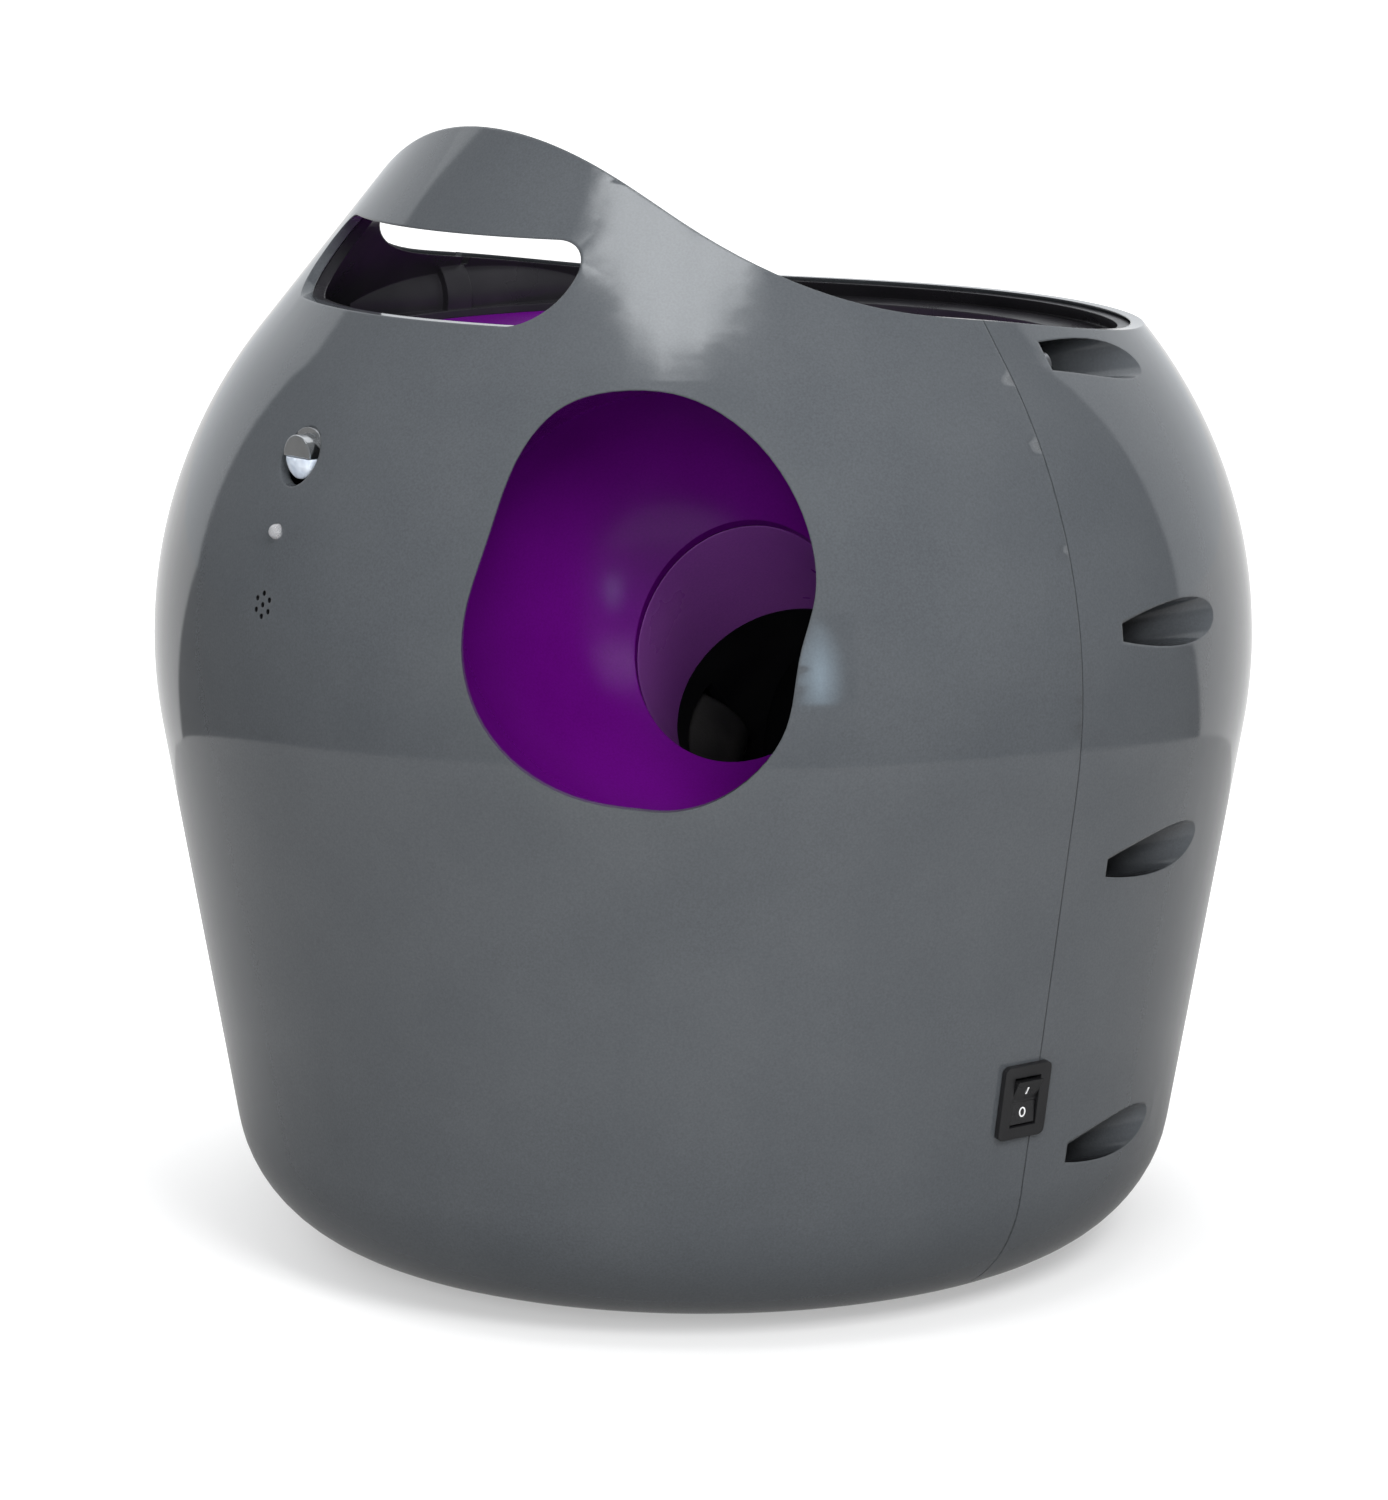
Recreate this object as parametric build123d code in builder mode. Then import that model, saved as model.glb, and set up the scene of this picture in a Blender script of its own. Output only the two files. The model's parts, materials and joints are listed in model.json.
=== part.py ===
from build123d import *
import os
from math import cos, radians, sin, sqrt, tan

# Automatic dog ball launcher, in millimetres. The origin is on the floor under the middle of
# the body, +Z is up and the front, with the handle and the motion sensor, looks along -Y.
# An azimuth is measured from the front towards +X, so the launch port is at about 43 degrees.

os.makedirs("parts", exist_ok=True)

# ---- general clearances
seat_gap = 0.3
running_fit = 0.05
press_gap = 0.02
slip_gap = 0.1
seam_gap = 0.4

# ---- body outline: flat base, heel arc, straight taper, shoulder arc, straight dome
foot_drop = 3.0
base_flat_radius = 103.4
heel_radius = 46.0
taper_angle = 9.8
taper_length = 128.7
shoulder_radius = 155.0
dome_angle = 38.7
dome_length = 96.0
shell_wall = 3.2

heel_top = foot_drop + heel_radius * (1 - sin(radians(taper_angle)))
heel_reach = base_flat_radius + heel_radius * cos(radians(taper_angle))
taper_top = heel_top + taper_length * cos(radians(taper_angle))
taper_reach = heel_reach + taper_length * sin(radians(taper_angle))
shoulder_center_radius = taper_reach - shoulder_radius * cos(radians(taper_angle))
belly_height = taper_top + shoulder_radius * sin(radians(taper_angle))
belly_radius = shoulder_center_radius + shoulder_radius
shoulder_top = belly_height + shoulder_radius * sin(radians(dome_angle))
side_rim_height = shoulder_top + 13.0
body_reach = belly_radius + 30.0
floor_inside = foot_drop + shell_wall

# ---- top rim: azimuth and rise over the top of the shoulder arc, from the back to the handle
rim_marks = [(180, 0.5), (125, 3.0), (90, 13.0), (65, 24.5), (49, 40.0), (30, 57.5), (0, 66.5)]
rim_reveal = 1.2
rim_notch = (60.0, 3.0, 2.6)

# ---- handle slot through the front of the dome
slot_width = 122.0
slot_height = 24.0
slot_rise = 25.0
slot_corner = 11.4
slot_reveal = 1.0

# ---- launch port: outline from its centre, sideways and up
port_azimuth = 43.0
port_height = belly_height + 34.0
port_outline = [
    (5.3, -57.6),
    (32.0, -49.2),
    (44.2, -33.0),
    (47.9, -12.0),
    (51.7, 4.5),
    (49.7, 20.5),
    (41.3, 37.4),
    (27.4, 51.3),
    (10.0, 59.2),
    (-8.0, 60.0),
    (-23.6, 55.4),
    (-35.2, 42.5),
    (-43.6, 18.5),
    (-50.2, -6.2),
    (-48.4, -25.0),
    (-37.5, -42.4),
    (-15.0, -54.8),
]

# ---- launch axis
launch_azimuth = 27.0
launch_elevation = 37.0
launch_point = (105.0, -100.0, belly_height + 52.6)
bore_radius = 35.0
barrel_wall = 3.0
sleeve_start = 6.0
sleeve_end = 110.0
barrel_end = 245.0

# ---- launch bay: a bowl turned round a line from its deepest point out through the port, each
# end given as distance from the middle, sideways and up from the port's centre
bay_bottom = (80.0, 15.0, -11.0)
bay_mouth = (165.0, 3.6, 1.2)
bay_depth = 58.0
bay_radius = 64.3
bay_wall = 2.4

# ---- shell screws, driven from the back through round wells
screw_rises = [-142.0, -51.0, 19.0, 95.5]
well_radius = 7.0
well_wall = 2.5
well_inset = 7.5
well_floor = 18.0
boss_length = 22.0
screw_radius = 2.0
screw_head_radius = 3.8
screw_head_height = 2.6
screw_reach = 14.0
screw_end_space = 2.0
cross_length = 4.6
cross_width = 0.9
cross_depth = 1.4

# ---- hopper
basin_seat = shoulder_top - 10.0
basin_radius = 118.0
basin_wall = 2.5
basin_depth = 51.0
ledge_width = 5.0
ledge_height = 3.0
rim_wall = 3.5
rim_flange = 2.5

# ---- sleeves of the liner over the top screw bosses: start along Y, end along Y, wall
shroud_steps = [(-48.0, -9.0, 1.6), (-10.0, 0.0, 4.4), (-1.0, 90.0, 3.2)]

# ---- feed tube and gate
feed_distance = 205.0
feed_bore = 36.0
feed_wall = 2.5
gate_drop = 27.0
gate_width = 24.0
gate_length = 55.0
gate_plate = 2.4
gate_pin_radius = 2.0
gate_pin_offset = 6.0
gate_barrel_radius = 4.4
gate_corner = 6.0
gate_slot_drop = 57.0
gate_side_play = 2.0
ear_width = 4.0
ear_size = (16.0, 10.0)
servo_size = (23.0, 12.0, 22.0)
servo_grip = 5.0
sensor_drop = 13.0
sensor_radius = 2.5
sensor_length = 4.0
sensor_flange = (3.7, 1.5)

# ---- launch wheels
wheel_distance = 143.0
wheel_offset = 53.0
wheel_radius = 26.0
tyre_thickness = 6.0
tyre_crown = 2.0
hub_holes = 6
hub_hole_ring = 12.0
hub_hole_radius = 3.6
wheel_width = 22.0
wheel_play = 3.0
wheel_end_play = 2.5
shaft_radius = 1.6
shaft_end_space = 0.5
motor_radius = 14.0
motor_length = 52.0
motor_shaft_depth = 12.0
motor_tail_radius = 5.0
motor_tail_height = 2.0
cradle_plate = 3.5
cradle_ring = 7.0
cradle_wall = 4.2
cradle_reach = 74.0
post_size = (12.0, 20.0)

# ---- pusher behind the ball
pusher_pad_radius = 20.0
pusher_pad_height = 5.0
pusher_rod_radius = 4.0
pusher_rod_length = 54.0
breech_plug_height = 5.7
breech_flange_radius = 40.0
breech_flange_height = 3.0
actuator_radius = 15.0
actuator_length = 50.0
actuator_wall = 2.0

# ---- chassis and battery bay
chassis_radius = 98.0
chassis_thickness = 3.0
chassis_screw_radius = 86.0
chassis_screw_azimuths = [30, 150, 210, 330]
chassis_boss_height = 8.0
chassis_boss_radius = 4.5
chassis_head_height = 2.0
chassis_screw_length = 13.2
foot_radius = 5.0
foot_ring_radius = 91.0
cell_radius = 16.3
cell_height = 59.0
cell_nub_radius = 4.75
cell_nub_height = 1.8
cell_pitch = 34.2
cell_columns = 2
cell_rows = 3
box_wall = 2.0
box_center_x = -41.0
contact_radius = 6.0
cell_play = 0.7
contact_thickness = 1.0
door_lap = 2.7
door_tab = 9.5
door_corner = 4.0
door_recess = 0.2
door_groove = (1.6, 51.0, 0.8)
door_groove_pitch = 5.0
door_screw_radius = 1.5
door_screw_inset = 4.5
door_screw_head = 2.7
door_screw_head_height = 1.4

# ---- electronics
board_size = (68.0, 32.0, 1.6)
board_center_y = -74.0
board_screw_inset = 5.0
chip_places = [(-14.0, 0.0, 14.0, 14.0), (6.0, -6.0, 18.0, 6.0)]
chip_height = 2.2
can_places = [(16.0, 7.0), (4.0, 7.0)]
can_size = (4.5, 11.0)
standoff_height = 6.0
standoff_radius = 3.0

# ---- front: motion sensor, indicator lamp, speaker
sensor_head_rise = 69.6
hood_radius = 6.6
hood_reach = 1.2
hood_round = 0.5
bezel_width = 1.9
bezel_sink = 3.5
sensor_depth = 12.0
sensor_board_size = (24.0, 20.0, 1.6)
lens_sink = 4.3
lens_gap = 0.2
lamp_depth = 8.0
lamp_rise = 48.0
lamp_radius = 2.3
speaker_rise = 26.6
speaker_radius = 14.0
speaker_depth = 9.0
speaker_sink = 1.0
speaker_cup = (16.0, 7.0)
speaker_magnet = (7.7, 5.0)
speaker_hole_radius = 0.8
speaker_hole_ring = 3.4
speaker_holes = 6

# ---- power switch on the side, across the seam
switch_azimuth = 88.0
switch_height = 73.0
switch_size = (18.0, 23.5)
switch_body = (13.0, 18.6, 15.0)
switch_rim = 1.8
switch_corner = 2.0
rocker_size = (9.6, 14.6)
rocker_swing_gap = 0.7
rocker_pin = (0.9, 1.1)
rocker_low = 1.4
rocker_waist = 0.7
rocker_taper = 0.86
rocker_depth = 5.0
rocker_proud = 1.6

# ---- distance dial and power inlet at the back
dial_height = 150.0
dial_well_radius = 24.0
dial_radius = 19.0
dial_depth = 9.6
dial_shaft_radius = 3.0
dial_shaft_length = 9.2
dial_sink = 1.0
dial_ribs = 18
dial_rib_radius = 1.3
dial_mark = (1.6, 9.5, 1.0)
dial_mark_offset = 11.4
pot_radius = 10.0
pot_depth = 9.0
inlet_height = 70.0
inlet_radius = 5.6
inlet_flange = 7.6
inlet_bore = 3.1
inlet_length = 14.0
inlet_pin_radius = 1.0
inlet_flange_height = 1.6
inlet_nut_radius = 9.1
inlet_nut_height = 2.5


def body_face(inset):
    """Right half of the body's section, lying `inset` inside the outer skin."""
    with BuildSketch(Plane.XZ) as section:
        with BuildLine():
            base = Line((0, foot_drop + inset), (base_flat_radius, foot_drop + inset))
            heel = JernArc(base @ 1, base % 1, heel_radius - inset, 90 - taper_angle)
            taper = Line(heel @ 1, heel @ 1 + (heel % 1) * taper_length)
            turn = taper_angle + dome_angle
            shoulder = JernArc(taper @ 1, taper % 1, shoulder_radius - inset, turn)
            dome = Line(shoulder @ 1, shoulder @ 1 + (shoulder % 1) * dome_length)
            Polyline(dome @ 1, (0, (dome @ 1).Y), base @ 0)
        make_face()
    return section.sketch


def skin_radius(height, inset=0.0):
    """Radius of the surface that lies `inset` inside the outer skin, at a height."""
    lean = radians(taper_angle)
    if height < heel_top:
        rise = heel_radius - (height - foot_drop)
        return base_flat_radius + sqrt((heel_radius - inset) ** 2 - rise ** 2)
    if height < taper_top:
        return heel_reach + (height - heel_top) * tan(lean) - inset / cos(lean)
    if height < shoulder_top:
        swing = shoulder_radius - inset
        return shoulder_center_radius + sqrt(swing ** 2 - (height - belly_height) ** 2)
    slope = radians(dome_angle)
    top_reach = shoulder_center_radius + shoulder_radius * cos(slope)
    return top_reach - (height - shoulder_top) * tan(slope) - inset / cos(slope)


def outward_plane(azimuth, height, reach):
    """Upright plane facing out from the axis, `reach` away from it: X sideways, Y up."""
    turn = radians(azimuth)
    out = (sin(turn), -cos(turn), 0)
    side = (cos(turn), sin(turn), 0)
    return Plane(origin=(reach * out[0], reach * out[1], height), x_dir=side, z_dir=out)


def skin_plane(azimuth, height):
    """Plane on the tapered wall, facing square out of it."""
    turn = radians(azimuth)
    lean = radians(taper_angle)
    reach = skin_radius(height)
    out = (cos(lean) * sin(turn), -cos(lean) * cos(turn), -sin(lean))
    side = (cos(turn), sin(turn), 0)
    return Plane(origin=(reach * sin(turn), -reach * cos(turn), height), x_dir=side, z_dir=out)


def back_plane(x, height, y):
    """Upright plane that looks backwards, along +Y, with its own X to the left."""
    return Plane(origin=(x, y, height), x_dir=(-1, 0, 0), z_dir=(0, 1, 0))


launch_turn = radians(launch_azimuth)
launch_tilt = radians(launch_elevation)
launch_dir = Vector(cos(launch_tilt) * sin(launch_turn), -cos(launch_tilt) * cos(launch_turn), sin(launch_tilt))
launch_side = Vector(cos(launch_turn), sin(launch_turn), 0)
launch_up = launch_dir.cross(launch_side)
launch_origin = Vector(*launch_point)


def launch_at(distance, side=0.0, up=0.0):
    """Point on the launch axis, `distance` behind the launch point."""
    return launch_origin - launch_dir * distance + launch_side * side + launch_up * up


def launch_plane(distance, side=0.0, up=0.0):
    """Plane square to the launch axis, facing out of the barrel."""
    return Plane(origin=launch_at(distance, side, up), x_dir=launch_side, z_dir=launch_dir)


def spin_plane(distance, side, up):
    """Plane square to a launch wheel's shaft: Z is the shaft, X is sideways."""
    return Plane(origin=launch_at(distance, side, up), x_dir=launch_side, z_dir=launch_up)


def rod(plane, radius, length):
    """Plain cylinder standing on a plane."""
    with BuildPart() as bar:
        with BuildSketch(plane):
            Circle(radius)
        extrude(amount=length)
    return bar.part


def half_space(front):
    """Block that keeps the front or the back half of the body, short of the seam."""
    middle = -(body_reach + seam_gap / 2) if front else body_reach + seam_gap / 2
    with BuildPart() as block:
        with BuildSketch(Plane.XY):
            with Locations((0, middle)):
                Rectangle(2 * body_reach, 2 * body_reach)
        extrude(amount=2 * body_reach)
    return block.part


# ---- shared bodies
with BuildPart() as body_solid:
    add(body_face(0))
    revolve(axis=Axis.Z)

with BuildPart() as body_cavity:
    add(body_face(shell_wall))
    revolve(axis=Axis.Z)

with BuildPart() as inner_space:
    add(body_face(shell_wall + seat_gap))
    revolve(axis=Axis.Z)


def above_rim(drop):
    """Everything over the rim line, lowered by `drop`."""
    points = []
    for azimuth, rise in rim_marks:
        height = shoulder_top + rise
        points.append((-skin_radius(height) * cos(radians(azimuth)), height - drop))
    ceiling = 3 * body_reach
    with BuildPart() as cutter:
        with BuildSketch(Plane.YZ):
            with BuildLine():
                rim = Spline(*points)
                front = (-body_reach, points[-1][1])
                back = (body_reach, points[0][1])
                Polyline(rim @ 1, front, (-body_reach, ceiling), (body_reach, ceiling), back, rim @ 0)
            make_face()
        extrude(amount=body_reach, both=True)
        notch_low = side_rim_height - drop - rim_notch[2]
        with Locations((-belly_radius, 0, notch_low)):
            Box(2 * rim_notch[0], rim_notch[1], ceiling, align=(Align.CENTER, Align.CENTER, Align.MIN))
    return cutter.part


def slot_cutter(grow):
    """Handle slot, grown all round, running through the front wall only."""
    height = shoulder_top + slot_rise
    with BuildPart() as cutter:
        with BuildSketch(Plane(origin=(0, -slot_width / 2, height), x_dir=(1, 0, 0), z_dir=(0, -1, 0))):
            RectangleRounded(slot_width + 2 * grow, slot_height + 2 * grow, slot_corner + grow)
        extrude(amount=body_reach)
    return cutter.part


with BuildPart() as port_cutter:
    with BuildSketch(outward_plane(port_azimuth, port_height, base_flat_radius)):
        with BuildLine():
            Spline(*port_outline, periodic=True)
        make_face()
    extrude(amount=body_reach - base_flat_radius)


def port_point(reach, side, up):
    """Point at a distance from the middle, sideways and up from the port's centre."""
    return Vector(*outward_plane(port_azimuth, port_height, reach).from_local_coords((side, up, 0)))


def bay_body(grow):
    """Bowl behind the launch port, grown by the wall."""
    bottom = port_point(*bay_bottom)
    outward = (port_point(*bay_mouth) - bottom).normalized()
    across = outward.cross(Vector(0, 0, 1)).normalized()
    reach = body_reach - bay_bottom[0]
    with BuildPart() as bowl:
        with BuildSketch(Plane(origin=bottom, x_dir=outward, z_dir=across)):
            with BuildLine():
                EllipticalCenterArc((bay_depth, 0), bay_depth + grow, bay_radius + grow, start_angle=90, arc_size=90)
                Polyline((bay_depth, bay_radius + grow), (reach, bay_radius + grow), (reach, 0), (-grow, 0))
            make_face()
        revolve(axis=Axis(bottom, outward))
    return bowl.part


bay_outside = bay_body(bay_wall)
bay_clearance = bay_body(bay_wall + seat_gap)
rim_cutter = above_rim(0)
rim_cutter_low = above_rim(rim_reveal)
bore_cutter = rod(launch_plane(barrel_end), bore_radius, barrel_end + bore_radius)

screw_spots = []
for rise in screw_rises:
    spot_height = belly_height + rise
    spot_reach = skin_radius(spot_height) - well_inset
    for sign in (-1, 1):
        screw_spots.append((sign * spot_reach, spot_height))


def ledge_ring():
    """Ledge inside the shells that carries the hopper basin's flange."""
    top_radius = skin_radius(basin_seat, shell_wall)
    with BuildPart() as ring:
        with BuildSketch(Plane.XY.offset(basin_seat - ledge_height)):
            Circle(top_radius + shell_wall + ledge_height)
            Circle(top_radius - ledge_width, mode=Mode.SUBTRACT)
        extrude(amount=ledge_height)
        add(body_solid.part, mode=Mode.INTERSECT)
        add(bay_clearance, mode=Mode.SUBTRACT)
    return ring.part


ledge = ledge_ring()

# battery bay sizes shared by the door, the chassis, the box and the cells
cells_x = cell_columns * cell_pitch
cells_y = cell_rows * cell_pitch
box_inner_x = cells_x + cell_play
box_inner_y = cells_y + cell_play
door_x = cells_x + 2 * door_lap
door_y = cells_y + 2 * door_lap + 2 * door_tab
cell_floor = floor_inside + chassis_thickness + slip_gap

with BuildPart() as door_hole:
    with BuildSketch(Plane.XY):
        with Locations((box_center_x, 0)):
            RectangleRounded(door_x + 2 * seat_gap, door_y + 2 * seat_gap, door_corner)
    extrude(amount=floor_inside + 1)

switch_plane = skin_plane(switch_azimuth, switch_height)
with BuildPart() as switch_hole:
    with BuildSketch(switch_plane.offset(-switch_body[2])):
        Rectangle(switch_body[0] + 2 * seat_gap, switch_body[1] + 2 * seat_gap)
    extrude(amount=2 * switch_body[2])


def chassis_screw_places(height):
    """Planes of the screws that hold the chassis, at a height."""
    spots = []
    for azimuth in chassis_screw_azimuths:
        turn = radians(azimuth)
        spots.append((chassis_screw_radius * sin(turn), -chassis_screw_radius * cos(turn), height))
    return spots


with BuildPart() as chassis_screw_holes:
    with Locations(*chassis_screw_places(0)):
        Cylinder(screw_radius + running_fit, floor_inside + 1, align=(Align.CENTER, Align.CENTER, Align.MIN))

with BuildPart() as shell_blank:
    add(body_solid.part)
    add(body_cavity.part, mode=Mode.SUBTRACT)
    add(ledge)
    add(switch_hole.part, mode=Mode.SUBTRACT)
    add(door_hole.part, mode=Mode.SUBTRACT)
    add(chassis_screw_holes.part, mode=Mode.SUBTRACT)

# ---- front shell: the handle side, with the launch port and the sensor holes
sensor_height = belly_height + sensor_head_rise
lamp_height = belly_height + lamp_rise
speaker_height = belly_height + speaker_rise
speaker_face = skin_radius(speaker_height + speaker_radius, shell_wall) - seat_gap - speaker_sink

with BuildPart() as front_bosses:
    for x, height in screw_spots:
        with BuildSketch(Plane(origin=(x, -seam_gap / 2, height), x_dir=(1, 0, 0), z_dir=(0, -1, 0))):
            Circle(well_radius + well_wall)
        extrude(amount=boss_length)
    add(body_solid.part, mode=Mode.INTERSECT)

with BuildPart() as speaker_ring:
    with BuildSketch(outward_plane(0, speaker_height, speaker_face - speaker_cup[1])):
        Circle(speaker_cup[0])
        Circle(speaker_radius + seat_gap / 2, mode=Mode.SUBTRACT)
    extrude(amount=body_reach - speaker_face)
    add(body_solid.part, mode=Mode.INTERSECT)

with BuildPart() as speaker_hole_cutter:
    with BuildSketch(outward_plane(0, speaker_height, speaker_face)):
        Circle(speaker_hole_radius)
        with PolarLocations(speaker_hole_ring, speaker_holes, start_angle=90):
            Circle(speaker_hole_radius)
    extrude(amount=body_reach - speaker_face)

with BuildPart() as front_shell:
    add(shell_blank.part)
    add(half_space(True), mode=Mode.INTERSECT)
    add(front_bosses.part)
    add(speaker_ring.part)
    add(rim_cutter, mode=Mode.SUBTRACT)
    add(slot_cutter(0), mode=Mode.SUBTRACT)
    add(port_cutter.part, mode=Mode.SUBTRACT)
    add(speaker_hole_cutter.part, mode=Mode.SUBTRACT)
    with BuildSketch(outward_plane(0, sensor_height, base_flat_radius)):
        Circle(hood_radius + bezel_width + running_fit)
    extrude(amount=body_reach - base_flat_radius, mode=Mode.SUBTRACT)
    with BuildSketch(outward_plane(0, lamp_height, base_flat_radius)):
        Circle(lamp_radius + running_fit)
    extrude(amount=body_reach - base_flat_radius, mode=Mode.SUBTRACT)
    for x, height in screw_spots:
        with BuildSketch(Plane(origin=(x, 0, height), x_dir=(1, 0, 0), z_dir=(0, -1, 0))):
            Circle(screw_radius + running_fit)
        extrude(amount=screw_reach + screw_end_space, mode=Mode.SUBTRACT)
front_shell.part.label = "front_shell"
export_step(front_shell.part, "parts/front_shell.step")

# ---- rear shell: screw wells, dial well and power inlet
dial_floor = skin_radius(dial_height - dial_well_radius) - dial_sink
inlet_plane = skin_plane(180, inlet_height)

with BuildPart() as rear_wells:
    for x, height in screw_spots:
        with BuildSketch(back_plane(x, height, seam_gap / 2)):
            Circle(well_radius + well_wall)
        extrude(amount=body_reach)
    with BuildSketch(back_plane(0, dial_height, dial_floor - shell_wall)):
        Circle(dial_well_radius + shell_wall)
    extrude(amount=body_reach - dial_floor)
    add(body_solid.part, mode=Mode.INTERSECT)

with BuildPart() as rear_shell:
    add(shell_blank.part)
    add(half_space(False), mode=Mode.INTERSECT)
    add(rear_wells.part)
    add(rim_cutter, mode=Mode.SUBTRACT)
    for x, height in screw_spots:
        with BuildSketch(back_plane(x, height, well_floor)):
            Circle(well_radius)
        extrude(amount=body_reach, mode=Mode.SUBTRACT)
        with BuildSketch(back_plane(x, height, 0)):
            Circle(screw_radius + running_fit)
        extrude(amount=well_floor + 1, mode=Mode.SUBTRACT)
    with BuildSketch(back_plane(0, dial_height, dial_floor)):
        Circle(dial_well_radius)
    extrude(amount=body_reach - dial_floor, mode=Mode.SUBTRACT)
    with BuildSketch(back_plane(0, dial_height, dial_floor - 2 * shell_wall)):
        Circle(dial_shaft_radius + running_fit)
    extrude(amount=3 * shell_wall, mode=Mode.SUBTRACT)
    with BuildSketch(inlet_plane.offset(-2 * shell_wall)):
        Circle(inlet_radius + running_fit)
    extrude(amount=4 * shell_wall, mode=Mode.SUBTRACT)
rear_shell.part.label = "rear_shell"
export_step(rear_shell.part, "parts/rear_shell.step")

# ---- shell screws: cross-head screws at the bottom of the wells
with BuildPart() as shell_screws:
    for x, height in screw_spots:
        with BuildSketch(back_plane(x, height, -screw_reach)):
            Circle(screw_radius)
        extrude(amount=screw_reach + well_floor)
        with BuildSketch(back_plane(x, height, well_floor)):
            Circle(screw_head_radius)
        extrude(amount=screw_head_height)
        with BuildSketch(back_plane(x, height, well_floor + screw_head_height)):
            Rectangle(cross_length, cross_width)
            Rectangle(cross_width, cross_length)
        extrude(amount=-cross_depth, mode=Mode.SUBTRACT)
shell_screws.part.label = "shell_screws"
export_step(shell_screws.part, "parts/shell_screws.step")

# ---- rubber feet: four clear domes under the base
foot_spots = []
for azimuth in (45, 135, 225, 315):
    foot_turn = radians(azimuth)
    foot_spots.append((foot_ring_radius * sin(foot_turn), -foot_ring_radius * cos(foot_turn)))
with BuildPart() as rubber_feet:
    with BuildSketch(Plane.XY):
        with Locations(*foot_spots):
            Circle(foot_radius)
    extrude(amount=foot_drop)
    fillet(rubber_feet.edges().group_by(Axis.Z)[0], radius=foot_drop * 0.7)
rubber_feet.part.label = "rubber_feet"
export_step(rubber_feet.part, "parts/rubber_feet.step")

# ---- chassis plate: carries everything inside
with BuildPart() as chassis_plate:
    with BuildSketch(Plane.XY.offset(floor_inside)):
        Circle(chassis_radius)
        with Locations((box_center_x, 0)):
            Rectangle(box_inner_x, box_inner_y, mode=Mode.SUBTRACT)
    extrude(amount=chassis_thickness)
    with Locations(*chassis_screw_places(floor_inside)):
        Cylinder(
            chassis_boss_radius,
            chassis_thickness + chassis_boss_height,
            align=(Align.CENTER, Align.CENTER, Align.MIN),
        )
        Cylinder(
            screw_radius + running_fit,
            chassis_thickness + chassis_boss_height,
            align=(Align.CENTER, Align.CENTER, Align.MIN),
            mode=Mode.SUBTRACT,
        )
    with BuildSketch(Plane.XY.offset(floor_inside)):
        with Locations((box_center_x, 0)):
            with GridLocations(0, door_y - 2 * door_screw_inset, 1, 2):
                Circle(door_screw_radius + running_fit)
    extrude(amount=chassis_thickness, mode=Mode.SUBTRACT)
chassis_plate.part.label = "chassis_plate"
export_step(chassis_plate.part, "parts/chassis_plate.step")

with BuildPart() as chassis_screws:
    with Locations(*chassis_screw_places(foot_drop)):
        Cylinder(screw_radius, chassis_screw_length, align=(Align.CENTER, Align.CENTER, Align.MIN))
        Cylinder(screw_head_radius, chassis_head_height, align=(Align.CENTER, Align.CENTER, Align.MAX))
chassis_screws.part.label = "chassis_screws"
export_step(chassis_screws.part, "parts/chassis_screws.step")

# ---- battery door with its two screws
door_low = foot_drop + door_recess
with BuildPart() as battery_door:
    with BuildSketch(Plane.XY.offset(door_low)):
        with Locations((box_center_x, 0)):
            RectangleRounded(door_x, door_y, door_corner)
            with GridLocations(0, door_y - 2 * door_screw_inset, 1, 2):
                Circle(door_screw_radius + running_fit, mode=Mode.SUBTRACT)
    extrude(amount=shell_wall - door_recess)
    with BuildSketch(Plane.XY.offset(door_low)):
        with Locations((box_center_x, 0)):
            with GridLocations(door_groove_pitch, 0, 7, 1):
                Rectangle(door_groove[0], door_groove[1])
    extrude(amount=door_groove[2], mode=Mode.SUBTRACT)
battery_door.part.label = "battery_door"
export_step(battery_door.part, "parts/battery_door.step")

with BuildPart() as battery_door_screws:
    with BuildSketch(Plane.XY.offset(door_low)):
        with Locations((box_center_x, 0)):
            with GridLocations(0, door_y - 2 * door_screw_inset, 1, 2):
                Circle(door_screw_radius)
    extrude(amount=shell_wall + chassis_thickness - door_recess - slip_gap)
    with BuildSketch(Plane.XY.offset(door_low)):
        with Locations((box_center_x, 0)):
            with GridLocations(0, door_y - 2 * door_screw_inset, 1, 2):
                Circle(door_screw_head)
    extrude(amount=-door_screw_head_height)
battery_door_screws.part.label = "battery_door_screws"
export_step(battery_door_screws.part, "parts/battery_door_screws.step")

# ---- battery box, cells and contacts
box_height = cell_height + cell_nub_height + contact_thickness + 2 * slip_gap
with BuildPart() as battery_box:
    with BuildSketch(Plane.XY.offset(floor_inside + chassis_thickness)):
        with Locations((box_center_x, 0)):
            Rectangle(box_inner_x + 2 * box_wall, box_inner_y + 2 * box_wall)
    extrude(amount=box_height + box_wall)
    with BuildSketch(Plane.XY.offset(floor_inside + chassis_thickness)):
        with Locations((box_center_x, 0)):
            Rectangle(box_inner_x, box_inner_y)
    extrude(amount=box_height, mode=Mode.SUBTRACT)
battery_box.part.label = "battery_box"
export_step(battery_box.part, "parts/battery_box.step")

with BuildPart() as battery_cells:
    with BuildSketch(Plane.XY.offset(cell_floor)):
        with Locations((box_center_x, 0)):
            with GridLocations(cell_pitch, cell_pitch, cell_columns, cell_rows):
                Circle(cell_radius)
    extrude(amount=cell_height)
    with BuildSketch(Plane.XY.offset(cell_floor + cell_height)):
        with Locations((box_center_x, 0)):
            with GridLocations(cell_pitch, cell_pitch, cell_columns, cell_rows):
                Circle(cell_nub_radius)
    extrude(amount=cell_nub_height)
battery_cells.part.label = "battery_cells"
export_step(battery_cells.part, "parts/battery_cells.step")

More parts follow.
